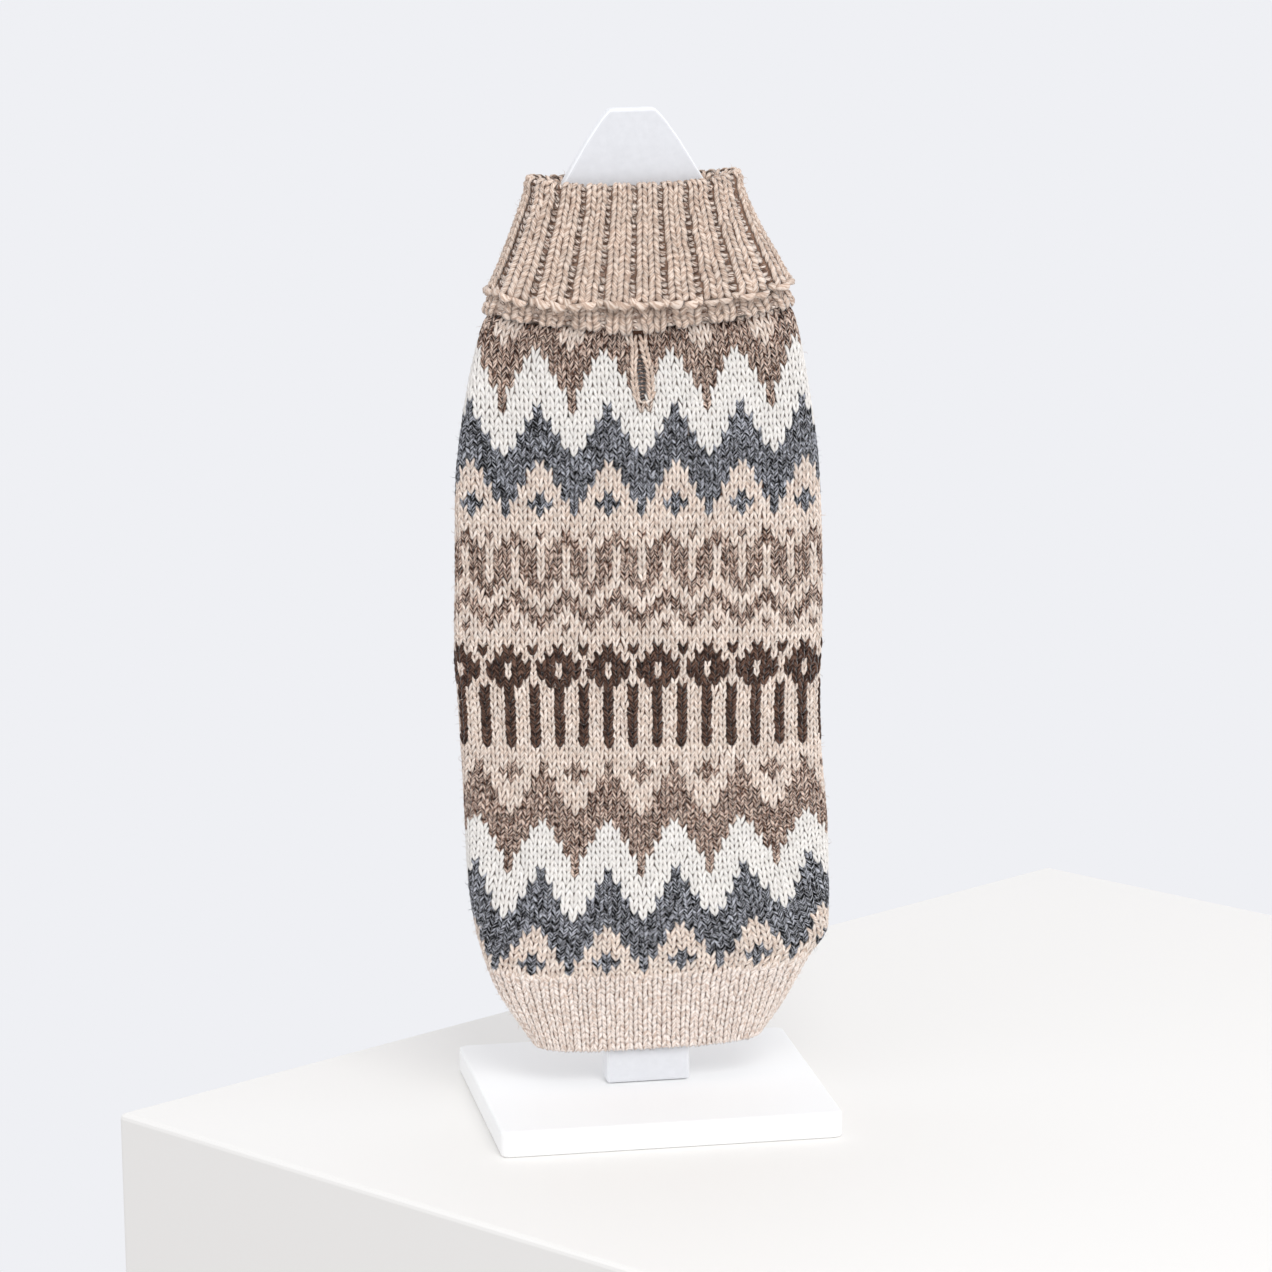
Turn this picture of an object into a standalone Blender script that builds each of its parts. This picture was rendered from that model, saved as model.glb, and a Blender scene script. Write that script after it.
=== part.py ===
"""Knitted dog sweater drawn over a flat display form on a square-based stand.

Metres, +Z up.  The origin is the middle of the underside of the stand's base.
The sweater's dorsal side faces -Y and its belly side faces +Y.
"""
from collections import namedtuple
from math import cos, pi, radians, sin

import bmesh
import bpy
from mathutils import Matrix, Vector

MM = 0.001
GAP = 0.3 * MM               # clearance at every seam and seat
WALL = 2.6 * MM              # thickness of the knitted cloth
WELD = 0.0001                # merge distance of every modifier that merges

# stand
BASE_WIDTH = 170 * MM
BASE_DEPTH = 162 * MM
BASE_HEIGHT = 13 * MM
BASE_CORNER = 4.5 * MM       # radius of the base's upright edges
BASE_SOFTEN = 1.2 * MM       # radius of its other edges
POST_WIDTH = 42 * MM
POST_DEPTH = 15 * MM
POST_SOFTEN = 1.5 * MM
FORM_THICKNESS = 9 * MM
FORM_SOFTEN = 3.4 * MM

# display form: half width at each height, from the foot to the top
FormRow = namedtuple("FormRow", "height half_width")
FORM = [
    FormRow(46, 24),
    FormRow(53, 42),
    FormRow(70, 60),
    FormRow(100, 76),
    FormRow(150, 82),
    FormRow(220, 83.6),
    FormRow(300, 84.6),
    FormRow(346, 82.2),
    FormRow(363, 79.2),
    FormRow(380, 74.8),
    FormRow(392, 70.0),
    FormRow(402, 64.6),
    FormRow(413, 60.0),
    FormRow(425, 56.2),
    FormRow(440, 50.2),
    FormRow(452, 43.6),
    FormRow(468, 34.3),
    FormRow(497, 16),
    FormRow(502.5, 11),
]

# sweater: flattened rings.  height is taken at the dorsal middle, left and right are half widths,
# dorsal and belly are half depths, side_lift raises a ring at its sides, belly_lift at its back
Ring = namedtuple("Ring", "height left right dorsal belly side_lift belly_lift")
BODY = [
    Ring(398, 71.6, 75.0, 11.5, 11.5, 7.5, 6.0),
    Ring(391, 76.8, 79.8, 12.0, 12.0, 7.0, 5.0),
    Ring(372, 82.9, 84.6, 12.2, 12.0, 4.0, 3.0),
    Ring(345, 88.6, 89.0, 12.8, 12.5, 1.5, 1.0),
    Ring(320, 91.6, 91.6, 13.0, 13.0, 0.5, 0.0),
    Ring(280, 92.8, 92.8, 13.0, 13.0, 0.0, 0.0),
    Ring(240, 94.0, 92.4, 12.6, 12.6, 0.0, 0.0),
    Ring(205, 92.6, 92.2, 12.2, 12.2, 0.0, 2.0),
    Ring(175, 91.4, 92.8, 13.0, 13.0, 1.0, 9.0),
    Ring(145, 90.6, 93.8, 15.0, 15.0, 2.0, 18.0),
    Ring(115, 89.4, 94.4, 17.6, 17.0, 3.0, 28.0),
    Ring(93, 86.6, 94.3, 18.6, 17.6, 4.0, 36.0),
    Ring(80, 83.8, 92.8, 17.6, 16.6, 4.5, 41.0),
    Ring(69, 80.2, 84.4, 15.6, 15.0, 4.5, 45.0),
    Ring(58, 75.4, 77.0, 13.8, 13.6, 4.0, 47.0),
    Ring(45, 67.0, 67.6, 12.2, 12.2, 3.0, 49.0),
    Ring(31, 56.8, 53.6, 11.6, 11.6, 1.5, 50.0),
]
SQUARENESS = 3.0             # exponent of the rings' flattened outline
NECK_EDGE = 398 * MM
HEM_SEAM = 67 * MM           # height of the seam between the body and the ribbed hem
HEM_EDGE = 31 * MM
BODY_RINGS = 22
HEM_RINGS = 7
QUARTER_STEPS = 11           # facets in a quarter of a ring
SIDE_CROWDING = 1.6          # over 1, the facets are finer towards the sides
EDGE_STRIP = 0.003           # narrow last facet at a panel's edge, so that facing edges are parallel
SIDE_SEAM = 0.286            # seams of dorsal and belly panels, as a share of the ring
SEAM_SHARE = 0.0008          # half of the seam's gap, as a share of the ring
SEAM_HALF = 0.35 * MM        # half of the gap along the hem's curved seam

# roll collar: a stand that rises from the neckline, then a fall turned down over it
STAND = [
    Ring(394.5, 76.4, 79.8, 13.8, 13.8, 8.5, 6.0),
    Ring(402, 74.0, 76.6, 14.0, 13.9, 7.0, 5.0),
    Ring(414, 65.4, 68.0, 12.6, 12.2, 5.5, 4.0),
    Ring(436, 55.6, 56.6, 11.6, 11.2, 3.5, 3.0),
    Ring(456, 47.6, 48.2, 11.0, 10.8, 3.4, 2.0),
]
FALL = [
    Ring(458, 53.0, 53.4, 15.6, 15.0, 3.4, 2.0),
    Ring(441, 59.2, 60.4, 16.8, 16.2, 4.0, 2.5),
    Ring(424, 65.6, 69.2, 18.6, 18.0, 5.5, 3.0),
    Ring(409, 72.0, 76.6, 20.6, 19.6, 7.0, 4.0),
]
FOLD_STEPS = 4
FOLD_RISE = 6.6              # millimetres from the last stand ring to the top of the fold

# leash slit in the dorsal panel
SLIT_TOP = Vector((-0.4 * MM, 0, 390.5 * MM))
SLIT_FOOT = Vector((5.6 * MM, 0, 362 * MM))
SLIT_WIDTH = 5.8 * MM
SLIT_CUT_BACK = -3 * MM      # how deep the slit is cut, inside the dorsal wall
SLIT_BAND_WIDTH = 2.8 * MM
SLIT_BAND_THICKNESS = 1.6 * MM
SLIT_BAND_START = 4.6 * MM   # the band's arms begin this far below the slit's top, under the collar
SLIT_BAND_LEFT = -0.05       # turns between which the band's cloth is laid, before it is trimmed
SLIT_BAND_RIGHT = 0.06
SLIT_BAND_STEPS = 9          # facets each way of that cloth
SLIT_BAND_MARGIN = 9 * MM    # how far that cloth runs past the slit's two ends

# leg openings in the belly panel and the ribbed cuffs set into them
LEG_X = 43 * MM
LEG_Z = 322 * MM
CUFF_RADIUS = 20 * MM
CUFF_TAPER = 0.92            # the cuff's free edge, as a share of its root
CUFF_REACH = 20 * MM         # how far the cuff stands out behind the belly panel
CUFF_INSET = 12 * MM         # how far it is first drawn inside the panel
CUFF_ROOT = 10.2 * MM        # depth at which that inner end is trimmed
CUFF_FACETS = 24
CUFF_TURN_OUT = 14           # degrees
CUFF_TURN_DOWN = 24

CUTTER_REACH = 60 * MM       # depth of the cutting solids, well past what they cut


def clear_scene():
    for item in list(bpy.data.objects):
        bpy.data.objects.remove(item, do_unlink=True)


def new_collection(name):
    collection = bpy.data.collections.new(name)
    bpy.context.scene.collection.children.link(collection)
    return collection


def material(name, colour, roughness, metallic=0.0):
    result = bpy.data.materials.new(name)
    result.use_nodes = True
    shader = result.node_tree.nodes["Principled BSDF"]
    shader.inputs["Base Color"].default_value = (*colour, 1.0)
    shader.inputs["Roughness"].default_value = roughness
    shader.inputs["Metallic"].default_value = metallic
    return result


def add_object(name, data, collection, finish=None):
    result = bpy.data.objects.new(name, data)
    collection.objects.link(result)
    if finish is not None:
        data.materials.append(finish)
    return result


def mesh_from(work, name):
    data = bpy.data.meshes.new(name)
    work.to_mesh(data)
    work.free()
    return data


def bevel(target, width, segments, name="edges"):
    step = target.modifiers.new(name, "BEVEL")
    step.width = width
    step.segments = segments
    step.limit_method = "ANGLE"
    step.angle_limit = radians(35)


def smooth(before, start, end, after, share):
    """Catmull-Rom value between start and end."""
    bend = 2 * before - 5 * start + 4 * end - after
    twist = 3 * (start - end) + after - before
    return 0.5 * (2 * start + (end - before) * share + bend * share ** 2 + twist * share ** 3)


def ring_at(rings, place):
    """Ring between the rows of a table; place counts rows from the first."""
    last = len(rings) - 1
    index = min(int(place), last - 1)
    near = [rings[min(max(index + k, 0), last)] for k in (-1, 0, 1, 2)]
    return Ring(*(smooth(*values, place - index) for values in zip(*near)))


def place_of(rings, height):
    """Row count at which a table that runs downwards reaches a height in millimetres."""
    low, high = 0.0, len(rings) - 1.0
    for _ in range(40):
        middle = (low + high) / 2
        if ring_at(rings, middle).height > height:
            low = middle
        else:
            high = middle
    return low


def quarter_point(width, depth, share, steps=60):
    """Point at a share of the arc length of a flattened quarter ring, from its middle to its side."""
    power = 2 / SQUARENESS
    angles = [pi / 2 * k / steps for k in range(steps + 1)]
    track = [Vector((width * sin(a) ** power, depth * max(cos(a), 0) ** power)) for a in angles]
    lengths = [(b - a).length for a, b in zip(track, track[1:])]
    wanted = share * sum(lengths)
    for index, length in enumerate(lengths):
        if wanted <= length or index == steps - 1:
            return track[index].lerp(track[index + 1], min(wanted / length, 1))
        wanted -= length


def ring_point(ring, turn):
    """Point of a ring; turn 0 is the dorsal middle, 0.25 the right side, 0.5 the belly middle."""
    turn = (turn + 0.5) % 1 - 0.5
    side = 1 if turn >= 0 else -1
    width = ring.right if side > 0 else ring.left
    quarters = abs(turn) * 4
    if quarters <= 1:
        x, y = quarter_point(width, ring.dorsal, quarters)
        y = -y
        lift = 0
    else:
        x, y = quarter_point(width, ring.belly, 2 - quarters)
        lift = ring.belly_lift * (1 - (x / width) ** 2)
    z = ring.height + ring.side_lift * (x / width) ** 4 + lift
    return Vector((side * x, y, z)) * MM


def cloth(name, rings, turns, collection, finish, closed=False, offset=-1.0):
    """Open surface through the rings, given the wall's thickness by Solidify."""
    work = bmesh.new()
    grid = [[work.verts.new(ring_point(ring, turn)) for turn in turns] for ring in rings]
    columns = len(turns) if closed else len(turns) - 1
    for upper, lower in zip(grid, grid[1:]):
        for k in range(columns):
            after = (k + 1) % len(turns)
            work.faces.new((upper[k], lower[k], lower[after], upper[after]))
    result = add_object(name, mesh_from(work, name), collection, finish)
    wall = result.modifiers.new("wall", "SOLIDIFY")
    wall.thickness = WALL
    wall.offset = offset
    wall.use_even_offset = True
    result.data.shade_smooth()
    return result


def spread(start, end, count):
    return [start + (end - start) * k / (count - 1) for k in range(count)]


def ring_turns():
    """Turns of a whole ring's facets, finer towards its sides."""
    steps = [1 - (1 - k / QUARTER_STEPS) ** SIDE_CROWDING for k in range(QUARTER_STEPS + 1)]
    right = [step / 4 for step in steps]
    front = [-turn for turn in reversed(right)] + right[1:]
    back = [0.5 + turn for turn in front[1:-1]]
    return front + back


def turns_between(start, end):
    """Turns of a panel's facets, with its two edges; end may pass the dorsal middle again."""
    inner = [turn + lap for turn in ring_turns() for lap in (-1, 0, 1)]
    inner = sorted(t for t in inner if start + 2 * EDGE_STRIP < t < end - 2 * EDGE_STRIP)
    return [start, start + EDGE_STRIP] + inner + [end - EDGE_STRIP, end]


def rounded_box(name, size, centre, collection, finish):
    work = bmesh.new()
    bmesh.ops.create_cube(work, size=1.0)
    bmesh.ops.scale(work, vec=size, verts=work.verts)
    bmesh.ops.translate(work, vec=centre, verts=work.verts)
    return add_object(name, mesh_from(work, name), collection, finish)


def build_stand(parts):
    paint = material("white painted wood", (0.86, 0.86, 0.85), 0.45)
    base = rounded_box(
        "stand_base", (BASE_WIDTH, BASE_DEPTH, BASE_HEIGHT), (0, 0, BASE_HEIGHT / 2), parts, paint)
    upright = base.data.attributes.new("bevel_weight_edge", "FLOAT", "EDGE")
    for edge in base.data.edges:
        first, second = (base.data.vertices[index].co for index in edge.vertices)
        upright.data[edge.index].value = float(abs(first.z - second.z) > WELD)
    corners = base.modifiers.new("corners", "BEVEL")
    corners.width = BASE_CORNER
    corners.segments = 4
    corners.limit_method = "WEIGHT"
    bevel(base, BASE_SOFTEN, 2)

    foot = BASE_HEIGHT + GAP
    head = FORM[0].height * MM - GAP
    post = rounded_box(
        "stand_post", (POST_WIDTH, POST_DEPTH, head - foot), (0, 0, (foot + head) / 2), parts, paint)
    bevel(post, POST_SOFTEN, 2)


def build_form(parts):
    """Flat board with a rounded edge, drawn as a filled outline standing in the XZ plane."""
    outline = bpy.data.curves.new("display_form", "CURVE")
    outline.dimensions = "2D"
    outline.fill_mode = "BOTH"
    outline.extrude = FORM_THICKNESS / 2
    outline.resolution_u = 3
    right = [(row.half_width * MM, row.height * MM) for row in FORM]
    left = [(-x, z) for x, z in reversed(right)]
    loop = right + left
    spline = outline.splines.new("BEZIER")
    spline.bezier_points.add(len(loop) - 1)
    spline.use_cyclic_u = True
    for point, (x, z) in zip(spline.bezier_points, loop):
        point.co = (x, z, 0)
        point.handle_left_type = "AUTO"
        point.handle_right_type = "AUTO"
    corners = [0, len(right) - 1, len(right), len(loop) - 1]
    for index in corners:
        spline.bezier_points[index].handle_left_type = "VECTOR"
        spline.bezier_points[index].handle_right_type = "VECTOR"
    board = add_object("display_form", outline, parts, material("white board", (0.85, 0.86, 0.87), 0.4))
    board.matrix_world = Matrix.Rotation(pi / 2, 4, "X")
    weld = board.modifiers.new("weld", "WELD")
    weld.merge_threshold = WELD
    bevel(board, FORM_SOFTEN, 3)


def cutter(name, work, collection):
    result = add_object(name, mesh_from(work, name), collection)
    result.hide_render = True
    result.display_type = "WIRE"
    return result


def cutter_prism(name, outline, back, collection):
    """Prism in front of the depth called back, its outline given in the XZ plane."""
    work = bmesh.new()
    face = work.faces.new([work.verts.new((x, back - CUTTER_REACH, z)) for x, z in outline])
    pushed = bmesh.ops.extrude_face_region(work, geom=[face])
    moved = [item for item in pushed["geom"] if isinstance(item, bmesh.types.BMVert)]
    bmesh.ops.translate(work, vec=(0, CUTTER_REACH, 0), verts=moved)
    bmesh.ops.recalc_face_normals(work, faces=work.faces)
    return cutter(name, work, collection)


def slot_outline(top, foot, width, steps=6):
    """Round-ended slot between two points of the XZ plane."""
    along = (foot - top).normalized()
    across = Vector((-along.z, 0, along.x))
    points = []
    for centre, facing in ((foot, along), (top, -along)):
        side = across if centre is foot else -across
        for k in range(steps + 1):
            angle = pi * k / steps
            spot = centre + (side * cos(angle) + facing * sin(angle)) * width / 2
            points.append((spot.x, spot.z))
    return points


def cut(target, tool, name, operation="DIFFERENCE"):
    step = target.modifiers.new(name, "BOOLEAN")
    step.operation = operation
    step.solver = "EXACT"
    step.object = tool


def body_rings(start, end, count):
    top, bottom = place_of(BODY, start / MM), place_of(BODY, end / MM)
    return [ring_at(BODY, place) for place in spread(top, bottom, count)]


def build_body(parts, cutters):
    jacquard = material("wool jacquard knit", (0.55, 0.48, 0.43), 0.95)
    seam_above = HEM_SEAM + SEAM_HALF
    rings = body_rings(NECK_EDGE, seam_above, BODY_RINGS)
    edge = SIDE_SEAM - SEAM_SHARE
    back = cloth("back_panel", rings, turns_between(-edge, edge), parts, jacquard)
    edge = SIDE_SEAM + SEAM_SHARE
    belly = cloth("belly_panel", rings, turns_between(edge, 1 - edge), parts, jacquard)

    slit = slot_outline(SLIT_TOP, SLIT_FOOT, SLIT_WIDTH)
    cut(back, cutter_prism("slit_cutter", slit, SLIT_CUT_BACK, cutters), "leash slit")

    rib = material("wool rib knit", (0.72, 0.60, 0.49), 0.95)
    for side, label in ((-1, "left"), (1, "right")):
        place = Vector((side * LEG_X, CUFF_ROOT, LEG_Z))
        turn = Matrix.Rotation(radians(-side * CUFF_TURN_OUT), 4, "Z")
        turn = turn @ Matrix.Rotation(radians(-CUFF_TURN_DOWN), 4, "X")
        turn = turn @ Matrix.Rotation(radians(-90), 4, "X")
        frame = Matrix.Translation(place) @ turn
        hole = leg_cutter(label, frame, cutters)
        cut(belly, hole, f"{label} leg opening")
        build_cuff(label, frame, parts, cutters, rib)
    return rib


def leg_cutter(label, frame, cutters):
    work = bmesh.new()
    radius = CUFF_RADIUS + GAP
    bmesh.ops.create_cone(
        work, cap_ends=True, segments=CUFF_FACETS, radius1=radius, radius2=radius, depth=CUTTER_REACH)
    bmesh.ops.transform(work, matrix=frame, verts=work.verts)
    return cutter(f"{label}_leg_cutter", work, cutters)


def build_cuff(label, frame, parts, cutters, rib):
    """Short ribbed tube along the frame's Z, trimmed flat just inside the belly panel."""
    work = bmesh.new()
    depth = CUFF_REACH + CUFF_INSET
    bmesh.ops.create_cone(
        work, cap_ends=False, segments=CUFF_FACETS, depth=depth,
        radius1=CUFF_RADIUS, radius2=CUFF_RADIUS * CUFF_TAPER)
    bmesh.ops.translate(work, vec=(0, 0, depth / 2 - CUFF_INSET), verts=work.verts)
    bmesh.ops.transform(work, matrix=frame, verts=work.verts)
    cuff = add_object(f"{label}_leg_cuff", mesh_from(work, f"{label}_leg_cuff"), parts, rib)
    wall = cuff.modifiers.new("wall", "SOLIDIFY")
    wall.thickness = WALL
    wall.offset = -1.0
    cuff.data.shade_smooth()
    half = 2 * LEG_X
    low, high = LEG_Z - half, LEG_Z + half
    outline = [(-half, low), (half, low), (half, high), (-half, high)]
    cut(cuff, cutter_prism(f"{label}_cuff_trim", outline, CUFF_ROOT, cutters), "trim to the panel")


def build_hem(parts, rib):
    rings = body_rings(HEM_SEAM - SEAM_HALF, HEM_EDGE, HEM_RINGS)
    cloth("hem_rib", rings, ring_turns(), parts, rib, closed=True)


def fold_rings():
    """Half turn of cloth between the top of the stand and the start of the fall."""
    start, end = STAND[-1], FALL[0]
    rings = []
    for k in range(1, FOLD_STEPS + 1):
        angle = pi * k / (FOLD_STEPS + 1)
        share = (1 - cos(angle)) / 2
        values = [a + (b - a) * share for a, b in zip(start, end)]
        ring = Ring(*values)
        rings.append(ring._replace(height=ring.height + FOLD_RISE * sin(angle)))
    return rings


def build_collar(parts, rib):
    """Wall whose middle surface runs up the stand, over the fold and down the fall."""
    rings = STAND + fold_rings() + FALL
    rings = list(reversed(rings))
    return cloth("roll_collar", rings, ring_turns(), parts, rib, closed=True, offset=0.0)


def build_slit_band(parts, cutters, rib):
    """Knitted band that borders the leash slit, raised from the dorsal panel's own surface."""
    lift = (GAP + SLIT_BAND_THICKNESS) / MM
    first = place_of(BODY, (SLIT_TOP.z + SLIT_BAND_MARGIN) / MM)
    last = place_of(BODY, (SLIT_FOOT.z - SLIT_BAND_MARGIN) / MM)
    rings = []
    for place in spread(first, last, SLIT_BAND_STEPS):
        ring = ring_at(BODY, place)
        ring = ring._replace(dorsal=ring.dorsal + lift, left=ring.left + lift, right=ring.right + lift)
        rings.append(ring)
    turns = spread(SLIT_BAND_LEFT, SLIT_BAND_RIGHT, SLIT_BAND_STEPS)
    band = cloth("slit_band", rings, turns, parts, rib)
    band.modifiers["wall"].thickness = SLIT_BAND_THICKNESS

    downwards = (SLIT_FOOT - SLIT_TOP).normalized()
    outside = slot_outline(
        SLIT_TOP + downwards * SLIT_BAND_START, SLIT_FOOT, SLIT_WIDTH + 2 * SLIT_BAND_WIDTH)
    cut(band, cutter_prism("band_plan", outside, SLIT_CUT_BACK, cutters), "outer shape", "INTERSECT")
    mouth = slot_outline(SLIT_TOP - downwards * SLIT_BAND_MARGIN, SLIT_FOOT, SLIT_WIDTH)
    cut(band, cutter_prism("band_mouth", mouth, SLIT_CUT_BACK, cutters), "mouth")


clear_scene()
sweater = new_collection("dog_sweater_on_display_stand")
shaping = new_collection("cutters")
build_stand(sweater)
build_form(sweater)
rib_knit = build_body(sweater, shaping)
build_hem(sweater, rib_knit)
build_collar(sweater, rib_knit)
build_slit_band(sweater, shaping, rib_knit)
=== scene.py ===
from functools import partial
from math import cos, pi, radians, sin

import bpy
import numpy as np
from mathutils import Matrix, Vector


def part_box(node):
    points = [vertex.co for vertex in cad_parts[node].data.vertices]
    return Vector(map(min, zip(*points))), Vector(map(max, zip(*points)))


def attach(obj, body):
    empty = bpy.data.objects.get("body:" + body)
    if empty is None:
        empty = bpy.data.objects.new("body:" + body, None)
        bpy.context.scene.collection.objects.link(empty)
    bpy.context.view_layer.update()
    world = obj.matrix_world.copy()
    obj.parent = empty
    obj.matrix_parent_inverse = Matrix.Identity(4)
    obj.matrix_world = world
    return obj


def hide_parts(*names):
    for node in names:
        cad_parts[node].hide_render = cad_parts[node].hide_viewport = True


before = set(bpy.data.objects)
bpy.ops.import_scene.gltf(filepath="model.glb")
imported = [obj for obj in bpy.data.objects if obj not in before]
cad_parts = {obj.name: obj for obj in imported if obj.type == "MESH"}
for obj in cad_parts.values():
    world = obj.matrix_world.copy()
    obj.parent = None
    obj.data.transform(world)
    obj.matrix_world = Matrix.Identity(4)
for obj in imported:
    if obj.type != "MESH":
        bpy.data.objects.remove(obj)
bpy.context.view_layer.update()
mm = 0.001
scene = bpy.context.scene
scene.view_settings.view_transform = "Standard"

# camera, level with the middle of the sweater and a little to its left
cameraView = {"lens": 150.96, "azimuth": -9.16, "elevation": 11.25, "roll": -0.89, "clipEnd": 40,
              "distance": 2.6504, "height": 0.220, "aside": 0.00202, "above": -0.01992}


def makeCamera(view):
    turn, rise, roll = radians(view["azimuth"]), radians(view["elevation"]), radians(view["roll"])
    back = Vector((sin(turn) * cos(rise), -cos(turn) * cos(rise), sin(rise)))
    right = Vector((cos(turn), sin(turn), 0))
    up = back.cross(right)
    right, up = right * cos(roll) + up * sin(roll), up * cos(roll) - right * sin(roll)
    data = bpy.data.cameras.new("studioCamera")
    data.lens = view["lens"]
    data.clip_end = view["clipEnd"]
    camera = bpy.data.objects.new("studioCamera", data)
    scene.collection.objects.link(camera)
    place = Vector((0, 0, view["height"])) + back * view["distance"] - right * view["aside"] - up * view["above"]
    camera.matrix_world = Matrix.Translation(place) @ Matrix((right, up, back)).transposed().to_4x4()
    scene.camera = camera


makeCamera(cameraView)


def linear(hexColour):
    parts = [int(hexColour[k:k + 2], 16) / 255 for k in (1, 3, 5)]
    return (*[c / 12.92 if c <= 0.04045 else ((c + 0.055) / 1.055) ** 2.4 for c in parts], 1.0)


# adds one node. given goes by the socket's name or number and holds plain values or what is linked in, a node
# standing for its first output; stops are a colour ramp's
def addNode(tree, kind, given=None, stops=(), **settings):
    node = tree.nodes.new(kind)
    for key, value in settings.items():
        setattr(node, key, value)
    for key, value in (given or {}).items():
        source = value.outputs[0] if isinstance(value, bpy.types.Node) else value
        if isinstance(source, bpy.types.NodeSocket):
            tree.links.new(source, node.inputs[key])
        else:
            node.inputs[key].default_value = value
    for k, (position, colour) in enumerate(stops):
        stop = node.color_ramp.elements[k] if k < 2 else node.color_ramp.elements.new(position)
        stop.position, stop.color = position, colour
    return node


# a material from the nodes that paint() adds; paint gives back what goes into the surface's shader
def newMaterial(name, paint, look):
    material = bpy.data.materials.new(name)
    material.use_nodes = True
    material.node_tree.nodes.clear()
    add = partial(addNode, material.node_tree)
    add("ShaderNodeOutputMaterial", {"Surface": add("ShaderNodeBsdfPrincipled", paint(add, look))})
    return material


def addObject(name, mesh):
    piece = bpy.data.objects.new(name, mesh)
    scene.collection.objects.link(piece)
    return piece


# The flattened rings that the sweater follows, in millimetres, close to the model's own: height, left and
# right half widths, dorsal and belly half depths, lift at the sides, lift at the middle of the belly.
bodyRings = np.array([
    (398, 71.6, 75.0, 11.5, 11.5, 7.5, 6.0), (391, 76.8, 79.8, 12.0, 12.0, 7.0, 5.0),
    (372, 82.9, 84.6, 12.2, 12.0, 4.0, 3.0), (345, 88.6, 89.0, 12.8, 12.5, 1.5, 1.0),
    (320, 91.6, 91.6, 13.0, 13.0, 0.5, 0.0), (280, 92.8, 92.8, 13.0, 13.0, 0.0, 0.0),
    (240, 94.0, 92.4, 12.6, 12.6, 0.0, 0.0), (205, 92.6, 90.8, 12.2, 12.2, 0.0, 2.0),
    (175, 91.4, 91.6, 13.0, 13.0, 1.0, 9.0), (145, 90.6, 93.8, 15.0, 15.0, 2.0, 18.0),
    (115, 89.4, 94.4, 17.6, 17.0, 3.0, 28.0), (93, 86.6, 94.3, 18.6, 17.6, 4.0, 36.0),
    (80, 83.8, 92.8, 17.6, 16.6, 4.5, 41.0), (69, 80.2, 84.4, 15.6, 15.0, 4.5, 45.0),
    (58, 75.4, 77.8, 13.8, 13.6, 4.0, 47.0), (45, 67.0, 69.4, 12.2, 12.2, 3.0, 49.0),
    (31, 56.6, 57.6, 11.6, 11.6, 1.5, 50.0)])
standRings = np.array([
    (394.5, 76.4, 79.8, 13.8, 13.8, 8.5, 6.0), (402, 74.0, 76.6, 14.0, 13.9, 7.0, 5.0),
    (414, 65.4, 68.0, 12.6, 12.2, 5.5, 4.0), (436, 55.6, 56.6, 11.6, 11.2, 3.5, 3.0),
    (456, 47.6, 48.2, 11.0, 10.8, 3.4, 2.0)])
fallRings = np.array([
    (458, 53.0, 53.4, 15.6, 15.0, 4.2, 2.0), (441, 59.2, 60.4, 16.8, 16.2, 4.4, 2.5),
    (424, 65.6, 69.2, 18.6, 18.0, 5.5, 3.0), (409, 72.0, 76.6, 20.6, 19.6, 7.0, 4.0),
    (405.2, 73.6, 78.4, 21.0, 20.0, 7.4, 4.2)])
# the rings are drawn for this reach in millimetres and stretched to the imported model's; left stands a little
# further out than the widest ring, which draws the left side in
drawn = {"left": -95.1, "right": 94.5, "hem": 31.0, "neck": 468.6}
backLow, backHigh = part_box("back_panel")
hemFoot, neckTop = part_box("hem_rib")[0].z / mm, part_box("roll_collar")[1].z / mm
for rings in (bodyRings, standRings, fallRings):
    rings[:, 0] = hemFoot + (rings[:, 0] - drawn["hem"]) * (neckTop - hemFoot) / (drawn["neck"] - drawn["hem"])
    rings[:, 1] *= backLow.x / mm / drawn["left"]
    rings[:, 2] *= backHigh.x / mm / drawn["right"]
squareness = 3.0          # 2 makes a ring an ellipse, more fills out its corners
sideSeam = 0.286          # share of a ring at which the dorsal and belly panels meet
hemSeam = 67.0            # ring height in mm at which the panels meet the hem
arcSteps = 60             # straight steps that measure a quarter of a ring
stitchMiddle = 0.8        # a stitch's middle lies this share of a row before the end of its row


# rows between the rows of a table, on a smooth curve through them
def ringsThrough(table, places):
    start = np.clip(np.floor(places).astype(int), 0, len(table) - 2)
    a, b, c, d = (table[np.clip(start + k, 0, len(table) - 1)] for k in (-1, 0, 1, 2))
    s = (places - start)[:, None]
    return 0.5 * (2 * b + (c - a) * s + (2 * a - 5 * b + 4 * c - d) * s ** 2 + (3 * (b - c) + d - a) * s ** 3)


def ringsAt(table, heights):
    places = np.linspace(0, len(table) - 1, 100 * len(table))
    track = ringsThrough(table, places)[:, 0]
    return ringsThrough(table, np.interp(-heights, -track, places))


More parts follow.
